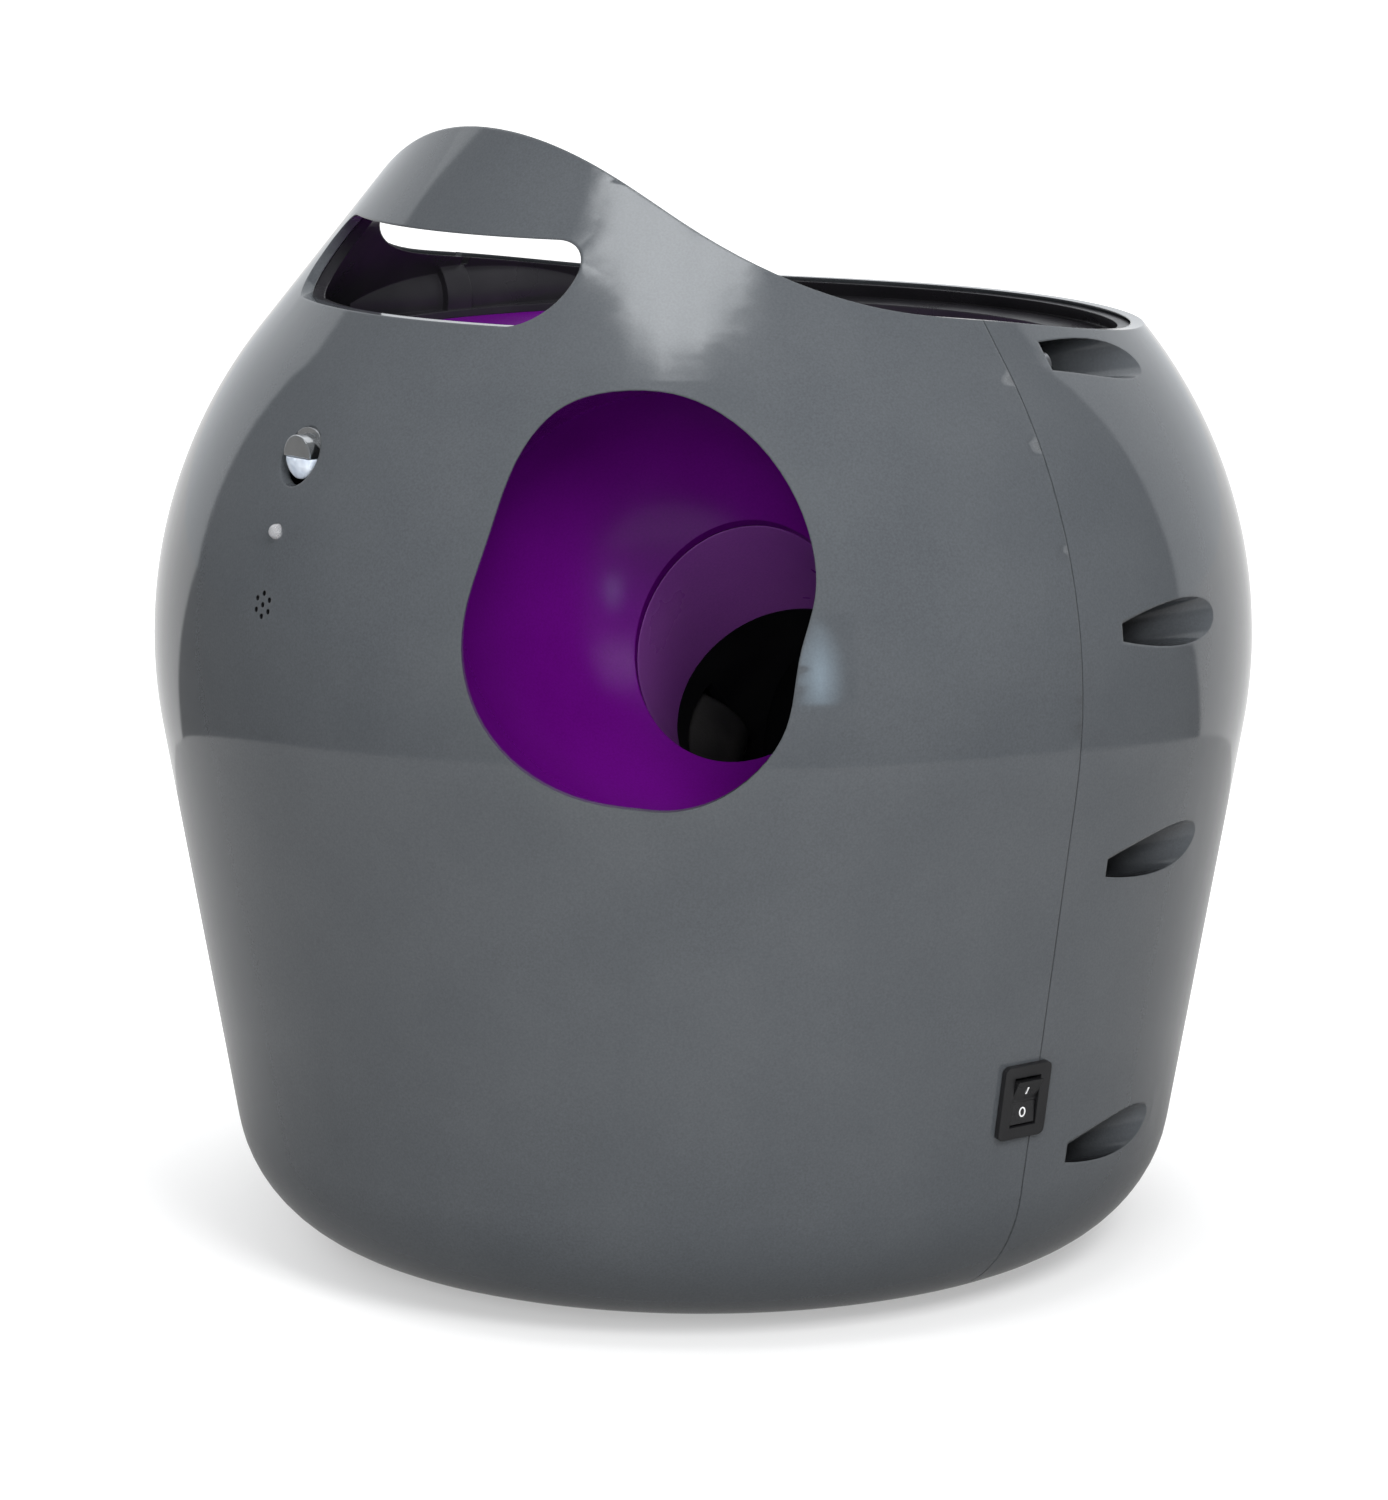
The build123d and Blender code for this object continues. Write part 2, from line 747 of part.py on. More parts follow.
with BuildPart() as battery_contacts:
    with BuildSketch(Plane.XY.offset(floor_inside)):
        with Locations((box_center_x, 0)):
            with GridLocations(cell_pitch, cell_pitch, cell_columns, cell_rows):
                Circle(contact_radius)
    extrude(amount=chassis_thickness)
    with BuildSketch(Plane.XY.offset(cell_floor + cell_height + cell_nub_height)):
        with Locations((box_center_x, 0)):
            with GridLocations(cell_pitch, cell_pitch, cell_columns, cell_rows):
                Circle(contact_radius)
    extrude(amount=contact_thickness + slip_gap)
battery_contacts.part.label = "battery_contacts"
export_step(battery_contacts.part, "parts/battery_contacts.step")

# ---- launch bay: the bowl behind the port, with the bore running into it
with BuildPart() as launch_bay:
    add(bay_outside)
    add(bay_body(0), mode=Mode.SUBTRACT)
    add(inner_space.part, mode=Mode.INTERSECT)
    add(bore_cutter, mode=Mode.SUBTRACT)
launch_bay.part.label = "launch_bay"
export_step(launch_bay.part, "parts/launch_bay.step")

# ---- muzzle sleeve: carries the bore from the bay back to the barrel
with BuildPart() as muzzle_sleeve:
    add(rod(launch_plane(sleeve_end), bore_radius + barrel_wall, sleeve_end - sleeve_start))
    add(bore_cutter, mode=Mode.SUBTRACT)
    add(bay_clearance, mode=Mode.SUBTRACT)
    add(inner_space.part, mode=Mode.INTERSECT)
muzzle_sleeve.part.label = "muzzle_sleeve"
export_step(muzzle_sleeve.part, "parts/muzzle_sleeve.step")

# ---- launch barrel: wheel windows on both sides and the feed port on top
feed_center = launch_at(feed_distance)
feed_axis_plane = Plane(origin=feed_center, x_dir=(1, 0, 0), z_dir=(0, 0, 1))
barrel_radius = bore_radius + barrel_wall
with BuildPart() as launch_barrel:
    add(rod(launch_plane(barrel_end), barrel_radius, barrel_end - sleeve_end - seat_gap))
    add(bore_cutter, mode=Mode.SUBTRACT)
    add(rod(feed_axis_plane, feed_bore, basin_seat), mode=Mode.SUBTRACT)
    for sign in (-1, 1):
        with BuildSketch(spin_plane(wheel_distance, sign * wheel_offset, -wheel_width / 2 - wheel_end_play)):
            Circle(wheel_radius + wheel_play)
        extrude(amount=wheel_width + 2 * wheel_end_play, mode=Mode.SUBTRACT)
launch_barrel.part.label = "launch_barrel"
export_step(launch_barrel.part, "parts/launch_barrel.step")

# ---- breech cap: plugs the back of the barrel and guides the pusher
actuator_back = barrel_end + breech_flange_height + actuator_length
with BuildPart() as breech_cap:
    add(rod(launch_plane(barrel_end + breech_flange_height), breech_flange_radius, breech_flange_height))
    add(rod(launch_plane(barrel_end), bore_radius - seat_gap, breech_plug_height))
    add(
        rod(launch_plane(actuator_back), pusher_rod_radius + running_fit, barrel_end),
        mode=Mode.SUBTRACT,
    )
breech_cap.part.label = "breech_cap"
export_step(breech_cap.part, "parts/breech_cap.step")

# ---- pusher: pad and rod slide forward to hand the ball to the wheels
pad_back = barrel_end - breech_plug_height - seat_gap
with BuildPart() as pusher:
    add(rod(launch_plane(pad_back), pusher_pad_radius, pusher_pad_height))
    add(rod(launch_plane(pad_back + pusher_rod_length), pusher_rod_radius, pusher_rod_length + pusher_pad_height / 2))
pusher.part.label = "pusher"
export_step(pusher.part, "parts/pusher.step")

with BuildPart() as pusher_actuator:
    add(rod(launch_plane(actuator_back), actuator_radius, actuator_length))
    add(
        rod(launch_plane(actuator_back - actuator_wall), pusher_rod_radius + running_fit, actuator_length),
        mode=Mode.SUBTRACT,
    )
pusher_actuator.part.label = "pusher_actuator"
export_step(pusher_actuator.part, "parts/pusher_actuator.step")

# ---- launch wheels with their motors, one on each side of the barrel
hub_radius = wheel_radius - tyre_thickness
for side_name, sign in (("left", -1), ("right", 1)):
    side = sign * wheel_offset
    wheel_low = -wheel_width / 2
    plate_low = wheel_low - wheel_end_play - cradle_plate

    with BuildPart() as wheel_tyre:
        with BuildSketch(spin_plane(wheel_distance, side, wheel_low)):
            Circle(wheel_radius)
            Circle(hub_radius + press_gap, mode=Mode.SUBTRACT)
        extrude(amount=wheel_width)
        fillet(wheel_tyre.edges().filter_by(GeomType.CIRCLE).sort_by(SortBy.RADIUS)[-2:], radius=tyre_crown)
    wheel_tyre.part.label = side_name + "_wheel_tyre"
    export_step(wheel_tyre.part, "parts/" + side_name + "_wheel_tyre.step")

    with BuildPart() as wheel_hub:
        with BuildSketch(spin_plane(wheel_distance, side, wheel_low)):
            Circle(hub_radius)
            Circle(shaft_radius + press_gap, mode=Mode.SUBTRACT)
            with PolarLocations(hub_hole_ring, hub_holes):
                Circle(hub_hole_radius, mode=Mode.SUBTRACT)
        extrude(amount=wheel_width)
    wheel_hub.part.label = side_name + "_wheel_hub"
    export_step(wheel_hub.part, "parts/" + side_name + "_wheel_hub.step")

    shaft_low = plate_low - motor_shaft_depth
    with BuildPart() as motor_shaft:
        with BuildSketch(spin_plane(wheel_distance, side, shaft_low)):
            Circle(shaft_radius)
        extrude(amount=wheel_low + wheel_width - 1 - shaft_low)
    motor_shaft.part.label = side_name + "_motor_shaft"
    export_step(motor_shaft.part, "parts/" + side_name + "_motor_shaft.step")

    with BuildPart() as motor_can:
        with BuildSketch(spin_plane(wheel_distance, side, plate_low - motor_length)):
            Circle(motor_radius)
        extrude(amount=motor_length)
        with BuildSketch(spin_plane(wheel_distance, side, plate_low - motor_length - motor_tail_height)):
            Circle(motor_tail_radius)
        extrude(amount=motor_tail_height)
        with BuildSketch(spin_plane(wheel_distance, side, plate_low - motor_shaft_depth - shaft_end_space)):
            Circle(shaft_radius + running_fit)
        extrude(amount=motor_shaft_depth + 2 * shaft_end_space, mode=Mode.SUBTRACT)
    motor_can.part.label = side_name + "_motor"
    export_step(motor_can.part, "parts/" + side_name + "_motor.step")

# ---- wheel cradle: half rings under the barrel, joined by the two motor plates
ring_front = wheel_distance - wheel_radius - wheel_play - 1
ring_back = wheel_distance + wheel_radius + wheel_play + 1 + cradle_ring
cradle_outer = barrel_radius + cradle_wall
with BuildPart() as wheel_cradle:
    for ring_at in (ring_front, ring_back):
        add(rod(launch_plane(ring_at), cradle_outer, cradle_ring))
    with BuildSketch(spin_plane(wheel_distance, 0, -body_reach)):
        Rectangle(2 * cradle_outer + 2, 4 * wheel_radius)
    extrude(amount=body_reach - 4, mode=Mode.INTERSECT)
    with BuildSketch(spin_plane((ring_front + ring_back - cradle_ring) / 2, 0, plate_low)):
        Rectangle(2 * cradle_reach, ring_back - ring_front + cradle_ring)
    extrude(amount=cradle_plate)
    add(rod(launch_plane(ring_back + 5), barrel_radius + slip_gap, 6 * wheel_radius), mode=Mode.SUBTRACT)
    for sign in (-1, 1):
        with BuildSketch(spin_plane(wheel_distance, sign * wheel_offset, plate_low)):
            Circle(shaft_radius + 1)
        extrude(amount=cradle_plate, mode=Mode.SUBTRACT)
wheel_cradle.part.label = "wheel_cradle"
export_step(wheel_cradle.part, "parts/wheel_cradle.step")

# ---- barrel posts: from the chassis up to the cradle's rings
chassis_top = floor_inside + chassis_thickness
for post_name, ring_at in (("front", ring_front), ("rear", ring_back)):
    foot_point = launch_at(ring_at - cradle_ring / 2, 0, -cradle_outer)
    post_top = launch_at(ring_at - cradle_ring / 2)
    with BuildPart() as barrel_post:
        post_plane = Plane(origin=(foot_point.X, foot_point.Y, chassis_top), x_dir=launch_side, z_dir=(0, 0, 1))
        with BuildSketch(post_plane):
            Rectangle(post_size[1], post_size[0])
        extrude(amount=post_top.Z - chassis_top)
        with BuildSketch(launch_plane(barrel_end)):
            Circle(cradle_outer + slip_gap)
        extrude(amount=barrel_end + body_reach, mode=Mode.SUBTRACT)
    barrel_post.part.label = post_name + "_barrel_post"
    export_step(barrel_post.part, "parts/" + post_name + "_barrel_post.step")

# ---- hopper basin: an oblique funnel that rolls the balls to the feed tube
basin_top = basin_seat + basin_wall
basin_outlet = basin_top - basin_depth
basin_flange = skin_radius(basin_top, shell_wall + 2 * seat_gap)
notch_radius = well_radius + well_wall + 2 * seat_gap
well_notches = []
for x, height in screw_spots:
    notch_plane = back_plane(x, height, -boss_length - 1)
    well_notches.append(rod(notch_plane, notch_radius, body_reach))


def funnel(grow):
    """Oblique cone from the basin's mouth to its outlet."""
    with BuildPart() as cone:
        with BuildSketch(Plane.XY.offset(basin_top)):
            Circle(basin_radius + grow)
        with BuildSketch(Plane.XY.offset(basin_outlet)):
            with Locations((feed_center.X, feed_center.Y)):
                Circle(feed_bore + grow)
        loft(ruled=True)
    return cone.part


with BuildPart() as hopper_basin:
    with BuildSketch(Plane.XY.offset(basin_seat)):
        Circle(basin_flange)
    extrude(amount=basin_wall)
    add(funnel(basin_wall))
    add(funnel(0), mode=Mode.SUBTRACT)
    add(bay_clearance, mode=Mode.SUBTRACT)
    for notch in well_notches:
        add(notch, mode=Mode.SUBTRACT)
hopper_basin.part.label = "hopper_basin"
export_step(hopper_basin.part, "parts/hopper_basin.step")

# ---- hopper rim: the dark liner inside the rim, which also backs the handle
with BuildPart() as rim_core:
    add(body_face(shell_wall + seat_gap + rim_wall))
    revolve(axis=Axis.Z)

with BuildPart() as rim_flange_ring:
    with BuildSketch(Plane.XY.offset(basin_top)):
        Circle(body_reach)
        Circle(basin_radius, mode=Mode.SUBTRACT)
    extrude(amount=rim_flange)

with BuildPart() as hopper_rim:
    add(inner_space.part)
    add(rim_core.part, mode=Mode.SUBTRACT)
    add(rim_flange_ring.part)
    for x in (screw_spots[-2][0], screw_spots[-1][0]):
        for start, end, wall in shroud_steps:
            add(rod(back_plane(x, screw_spots[-1][1], start), notch_radius + wall, end - start))
    add(inner_space.part, mode=Mode.INTERSECT)
    with BuildSketch(Plane.XY.offset(basin_top)):
        Rectangle(2 * body_reach, 2 * body_reach)
    extrude(amount=body_reach, mode=Mode.INTERSECT)
    add(rim_cutter_low, mode=Mode.SUBTRACT)
    add(slot_cutter(slot_reveal), mode=Mode.SUBTRACT)
    add(bay_clearance, mode=Mode.SUBTRACT)
    for notch in well_notches:
        add(notch, mode=Mode.SUBTRACT)
hopper_rim.part.label = "hopper_rim"
export_step(hopper_rim.part, "parts/hopper_rim.step")

# ---- feed tube: drops one ball at a time into the barrel
gate_height = basin_outlet - gate_drop
pin_y = feed_bore + gate_pin_offset
ear_inner = gate_width / 2 + gate_side_play
ear_outer = ear_inner + ear_width
sensor_z = basin_outlet - sensor_drop
tube_radius = feed_bore + feed_wall


def feed_plane(height):
    """Level plane centred on the feed tube."""
    return Plane(origin=(feed_center.X, feed_center.Y, height), x_dir=(1, 0, 0), z_dir=(0, 0, 1))


def gate_plane(x):
    """Plane square to the gate's pin, at a place along it."""
    return Plane(
        origin=(feed_center.X + x, feed_center.Y + pin_y, gate_height),
        x_dir=(0, 1, 0),
        z_dir=(1, 0, 0),
    )


with BuildPart() as feed_tube:
    add(rod(feed_plane(feed_center.Z), tube_radius, basin_outlet - feed_center.Z))
    for ear_at in (-ear_outer, ear_inner):
        with BuildSketch(gate_plane(ear_at)):
            with Locations((-gate_pin_offset / 2, 0)):
                Rectangle(ear_size[0], ear_size[1])
        extrude(amount=ear_width)
    add(rod(feed_plane(feed_center.Z), feed_bore, basin_outlet), mode=Mode.SUBTRACT)
    with BuildSketch(launch_plane(barrel_end + 50)):
        Circle(barrel_radius + seat_gap)
    extrude(amount=barrel_end + body_reach, mode=Mode.SUBTRACT)
    with BuildSketch(feed_plane(gate_height - gate_slot_drop)):
        with Locations((0, feed_bore)):
            Rectangle(2 * ear_inner, 4 * gate_pin_offset)
    extrude(amount=gate_slot_drop + gate_pin_offset, mode=Mode.SUBTRACT)
    add(rod(gate_plane(-ear_outer - 1), gate_pin_radius + running_fit, 2 * ear_outer + 2), mode=Mode.SUBTRACT)
    with BuildSketch(Plane(origin=(feed_center.X, feed_center.Y, sensor_z), x_dir=(0, 1, 0), z_dir=(1, 0, 0))):
        Circle(sensor_radius + running_fit)
    extrude(amount=tube_radius + 5, both=True, mode=Mode.SUBTRACT)
feed_tube.part.label = "feed_tube"
export_step(feed_tube.part, "parts/feed_tube.step")

# ---- gate paddle: swings down on its pin to let the next ball go
with BuildPart() as gate_paddle:
    add(rod(gate_plane(-gate_width / 2), gate_barrel_radius, gate_width))
    with BuildSketch(feed_plane(gate_height)):
        with Locations((0, pin_y - gate_length / 2)):
            Rectangle(gate_width, gate_length)
    extrude(amount=gate_plate / 2, both=True)
    fillet(gate_paddle.edges().filter_by(Axis.Z), radius=gate_corner)
    add(rod(gate_plane(-ear_outer), gate_pin_radius, 2 * ear_outer + servo_grip))
gate_paddle.part.label = "gate_paddle"
export_step(gate_paddle.part, "parts/gate_paddle.step")

with BuildPart() as gate_servo:
    with BuildSketch(gate_plane(ear_outer)):
        Rectangle(servo_size[1], servo_size[2])
    extrude(amount=servo_size[0])
    add(rod(gate_plane(ear_outer - 1), gate_pin_radius + running_fit, servo_grip + 2), mode=Mode.SUBTRACT)
gate_servo.part.label = "gate_servo"
export_step(gate_servo.part, "parts/gate_servo.step")

with BuildPart() as ball_sensor:
    for sign in (-1, 1):
        sensor_seat = Plane(
            origin=(feed_center.X + sign * feed_bore, feed_center.Y, sensor_z),
            x_dir=(0, 1, 0),
            z_dir=(sign, 0, 0),
        )
        with BuildSketch(sensor_seat):
            Circle(sensor_radius)
        extrude(amount=feed_wall + sensor_length)
        with BuildSketch(sensor_seat.offset(feed_wall + sensor_length)):
            Circle(sensor_flange[0])
        extrude(amount=sensor_flange[1])
ball_sensor.part.label = "ball_sensor"
export_step(ball_sensor.part, "parts/ball_sensor.step")

# ---- control board on its standoffs
board_low = chassis_top + standoff_height
board_pitch = (board_size[0] - 2 * board_screw_inset, board_size[1] - 2 * board_screw_inset)
with BuildPart() as board_standoffs:
    with BuildSketch(Plane.XY.offset(chassis_top)):
        with Locations((0, board_center_y)):
            with GridLocations(board_pitch[0], board_pitch[1], 2, 2):
                Circle(standoff_radius)
                Circle(door_screw_radius + running_fit, mode=Mode.SUBTRACT)
    extrude(amount=standoff_height)
board_standoffs.part.label = "board_standoffs"
export_step(board_standoffs.part, "parts/board_standoffs.step")

with BuildPart() as control_board:
    with BuildSketch(Plane.XY.offset(board_low)):
        with Locations((0, board_center_y)):
            Rectangle(board_size[0], board_size[1])
            with GridLocations(board_pitch[0], board_pitch[1], 2, 2):
                Circle(door_screw_radius + running_fit, mode=Mode.SUBTRACT)
    extrude(amount=board_size[2])
control_board.part.label = "control_board"
export_step(control_board.part, "parts/control_board.step")

with BuildPart() as board_screws:
    with BuildSketch(Plane.XY.offset(chassis_top + slip_gap)):
        with Locations((0, board_center_y)):
            with GridLocations(board_pitch[0], board_pitch[1], 2, 2):
                Circle(door_screw_radius)
    extrude(amount=standoff_height + board_size[2] - slip_gap)
    with BuildSketch(Plane.XY.offset(board_low + board_size[2])):
        with Locations((0, board_center_y)):
            with GridLocations(board_pitch[0], board_pitch[1], 2, 2):
                Circle(door_screw_head)
    extrude(amount=door_screw_head_height)
board_screws.part.label = "board_screws"
export_step(board_screws.part, "parts/board_screws.step")

board_top = board_low + board_size[2]
with BuildPart() as board_components:
    with BuildSketch(Plane.XY.offset(board_top)):
        for x, y, width, depth in chip_places:
            with Locations((x, board_center_y + y)):
                Rectangle(width, depth)
    extrude(amount=chip_height)
    with BuildSketch(Plane.XY.offset(board_top)):
        for x, y in can_places:
            with Locations((x, board_center_y + y)):
                Circle(can_size[0])
    extrude(amount=can_size[1])
board_components.part.label = "board_components"
export_step(board_components.part, "parts/board_components.step")

# ---- motion sensor: hooded chrome head over a milky lens
sensor_reach = skin_radius(sensor_height)
sensor_back = sensor_reach - sensor_depth
with BuildPart() as sensor_bezel:
    with BuildSketch(outward_plane(0, sensor_height, sensor_back)):
        Circle(hood_radius + bezel_width)
        Circle(hood_radius + running_fit, mode=Mode.SUBTRACT)
    extrude(amount=sensor_depth - bezel_sink)
sensor_bezel.part.label = "sensor_bezel"
export_step(sensor_bezel.part, "parts/sensor_bezel.step")

with BuildPart() as sensor_hood:
    with BuildSketch(outward_plane(0, sensor_height, sensor_back)):
        Circle(hood_radius)
        with Locations((0, -hood_radius)):
            Rectangle(4 * hood_radius, 2 * hood_radius, mode=Mode.SUBTRACT)
    extrude(amount=sensor_depth + hood_reach)
    fillet(sensor_hood.edges().filter_by(GeomType.CIRCLE).sort_by(Axis.Y)[0], radius=hood_round)
sensor_hood.part.label = "sensor_hood"
export_step(sensor_hood.part, "parts/sensor_hood.step")

lens_radius = hood_radius - lens_gap
with BuildPart() as sensor_lens:
    with BuildSketch(outward_plane(0, sensor_height, sensor_back)):
        Circle(lens_radius)
    extrude(amount=sensor_depth - lens_sink)
    with Locations((0, -(sensor_reach - lens_sink), sensor_height)):
        Sphere(lens_radius)
    with BuildSketch(outward_plane(0, sensor_height, sensor_back)):
        with Locations((0, -lens_radius - slip_gap)):
            Rectangle(4 * lens_radius, 2 * lens_radius)
    extrude(amount=sensor_depth + 2 * lens_radius, mode=Mode.INTERSECT)
sensor_lens.part.label = "sensor_lens"
export_step(sensor_lens.part, "parts/sensor_lens.step")

with BuildPart() as sensor_board:
    with BuildSketch(outward_plane(0, sensor_height, sensor_back)):
        Rectangle(sensor_board_size[0], sensor_board_size[1])
    extrude(amount=-sensor_board_size[2])
sensor_board.part.label = "sensor_board"
export_step(sensor_board.part, "parts/sensor_board.step")

# ---- indicator lamp
lamp_reach = skin_radius(lamp_height)
with BuildPart() as indicator_lamp:
    with BuildSketch(outward_plane(0, lamp_height, lamp_reach - lamp_depth)):
        Circle(lamp_radius)
    extrude(amount=lamp_depth)
    with Locations((0, -lamp_reach, lamp_height)):
        Sphere(lamp_radius)
indicator_lamp.part.label = "indicator_lamp"
export_step(indicator_lamp.part, "parts/indicator_lamp.step")

# ---- speaker behind its seven holes
with BuildPart() as speaker:
    with BuildSketch(outward_plane(0, speaker_height, speaker_face - speaker_depth)):
        Circle(speaker_radius)
    extrude(amount=speaker_depth)
    with BuildSketch(outward_plane(0, speaker_height, speaker_face - speaker_depth)):
        Circle(speaker_magnet[0])
    extrude(amount=-speaker_magnet[1])
speaker.part.label = "speaker"
export_step(speaker.part, "parts/speaker.step")

# ---- power switch: snap-in frame and rocker
rocker_axis_plane = Plane(
    origin=switch_plane.origin - switch_plane.x_dir * (rocker_size[0] / 2),
    x_dir=switch_plane.y_dir,
    z_dir=switch_plane.x_dir,
)
rocker_pin_plane = rocker_axis_plane.offset(-rocker_pin[1])
with BuildPart() as switch_frame:
    with BuildSketch(switch_plane):
        RectangleRounded(switch_size[0], switch_size[1], switch_corner)
    extrude(amount=switch_rim)
    with BuildSketch(switch_plane.offset(switch_rim / 2)):
        Rectangle(switch_body[0], switch_body[1])
    extrude(amount=-switch_body[2] - switch_rim / 2)
    with BuildSketch(switch_plane.offset(switch_rim)):
        Rectangle(rocker_size[0] + 2 * seat_gap, rocker_size[1] + 2 * rocker_swing_gap)
    extrude(amount=-switch_rim - rocker_depth - rocker_swing_gap, mode=Mode.SUBTRACT)
    add(
        rod(rocker_pin_plane, rocker_pin[0] + running_fit, rocker_size[0] + 2 * rocker_pin[1] + slip_gap),
        mode=Mode.SUBTRACT,
    )
switch_frame.part.label = "switch_frame"
export_step(switch_frame.part, "parts/switch_frame.step")

with BuildPart() as switch_rocker:
    with BuildSketch(rocker_axis_plane):
        with BuildLine():
            half = rocker_size[1] / 2
            Polyline(
                (-half, rocker_low),
                (0, rocker_waist),
                (half, switch_rim + rocker_proud),
                (half * rocker_taper, -rocker_depth / 2),
                (0, -rocker_depth),
                (-half * rocker_taper, -rocker_depth / 2),
                close=True,
            )
        make_face()
    extrude(amount=rocker_size[0])
    add(rod(rocker_pin_plane, rocker_pin[0], rocker_size[0] + 2 * rocker_pin[1]))
switch_rocker.part.label = "switch_rocker"
export_step(switch_rocker.part, "parts/switch_rocker.step")

# ---- distance dial and its potentiometer
with BuildPart() as distance_dial:
    with BuildSketch(back_plane(0, dial_height, dial_floor + seat_gap)):
        Circle(dial_radius)
        with PolarLocations(dial_radius, dial_ribs):
            Circle(dial_rib_radius, mode=Mode.SUBTRACT)
    extrude(amount=dial_depth)
    with BuildSketch(back_plane(0, dial_height, dial_floor + seat_gap + dial_depth)):
        with Locations((0, dial_mark_offset)):
            Rectangle(dial_mark[0], dial_mark[1])
    extrude(amount=-dial_mark[2], mode=Mode.SUBTRACT)
    with BuildSketch(back_plane(0, dial_height, dial_floor - dial_shaft_length)):
        Circle(dial_shaft_radius)
    extrude(amount=dial_shaft_length + 1)
distance_dial.part.label = "distance_dial"
export_step(distance_dial.part, "parts/distance_dial.step")

with BuildPart() as dial_potentiometer:
    with BuildSketch(back_plane(0, dial_height, dial_floor - shell_wall)):
        Circle(pot_radius)
    extrude(amount=-pot_depth)
    with BuildSketch(back_plane(0, dial_height, dial_floor - shell_wall)):
        Circle(dial_shaft_radius + running_fit)
    extrude(amount=shell_wall - dial_shaft_length - slip_gap, mode=Mode.SUBTRACT)
dial_potentiometer.part.label = "dial_potentiometer"
export_step(dial_potentiometer.part, "parts/dial_potentiometer.step")

# ---- power inlet
with BuildPart() as power_inlet:
    with BuildSketch(inlet_plane.offset(slip_gap)):
        Circle(inlet_flange)
    extrude(amount=inlet_flange_height)
    with BuildSketch(inlet_plane.offset(inlet_flange_height)):
        Circle(inlet_radius)
    extrude(amount=-inlet_length)
    with BuildSketch(inlet_plane.offset(2 * inlet_flange_height)):
        Circle(inlet_bore)
        Circle(inlet_pin_radius, mode=Mode.SUBTRACT)
    extrude(amount=-inlet_length, mode=Mode.SUBTRACT)
power_inlet.part.label = "power_inlet"
export_step(power_inlet.part, "parts/power_inlet.step")

with BuildPart() as inlet_nut:
    with BuildSketch(inlet_plane.offset(-shell_wall - 2 * seat_gap)):
        RegularPolygon(inlet_nut_radius, 6)
        Circle(inlet_radius + running_fit, mode=Mode.SUBTRACT)
    extrude(amount=-inlet_nut_height)
inlet_nut.part.label = "inlet_nut"
export_step(inlet_nut.part, "parts/inlet_nut.step")
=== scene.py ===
import json
import math

import bmesh
import bpy
from mathutils import Matrix, Vector


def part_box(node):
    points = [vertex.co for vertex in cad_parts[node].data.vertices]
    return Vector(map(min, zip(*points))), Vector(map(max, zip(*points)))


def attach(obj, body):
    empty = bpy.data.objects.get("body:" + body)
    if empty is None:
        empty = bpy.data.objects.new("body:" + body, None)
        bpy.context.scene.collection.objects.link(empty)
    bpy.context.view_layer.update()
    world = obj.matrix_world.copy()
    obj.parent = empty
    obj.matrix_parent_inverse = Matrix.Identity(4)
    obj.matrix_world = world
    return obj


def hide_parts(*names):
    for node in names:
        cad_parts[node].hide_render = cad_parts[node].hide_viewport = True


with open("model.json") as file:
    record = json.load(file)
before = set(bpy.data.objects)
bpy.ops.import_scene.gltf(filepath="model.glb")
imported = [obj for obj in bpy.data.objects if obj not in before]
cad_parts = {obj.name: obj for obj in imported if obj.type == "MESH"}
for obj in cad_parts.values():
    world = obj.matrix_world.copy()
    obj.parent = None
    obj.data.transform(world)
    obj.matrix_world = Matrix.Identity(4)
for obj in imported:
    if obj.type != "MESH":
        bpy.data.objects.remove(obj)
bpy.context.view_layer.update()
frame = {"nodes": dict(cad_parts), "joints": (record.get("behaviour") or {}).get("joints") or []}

# Automatic dog ball launcher: materials, small printed marks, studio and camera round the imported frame.
# Everything is in metres in the frame of the CAD: +Z up, the handle and motion sensor look along -Y.

NODES = frame["nodes"]
MM = 0.001


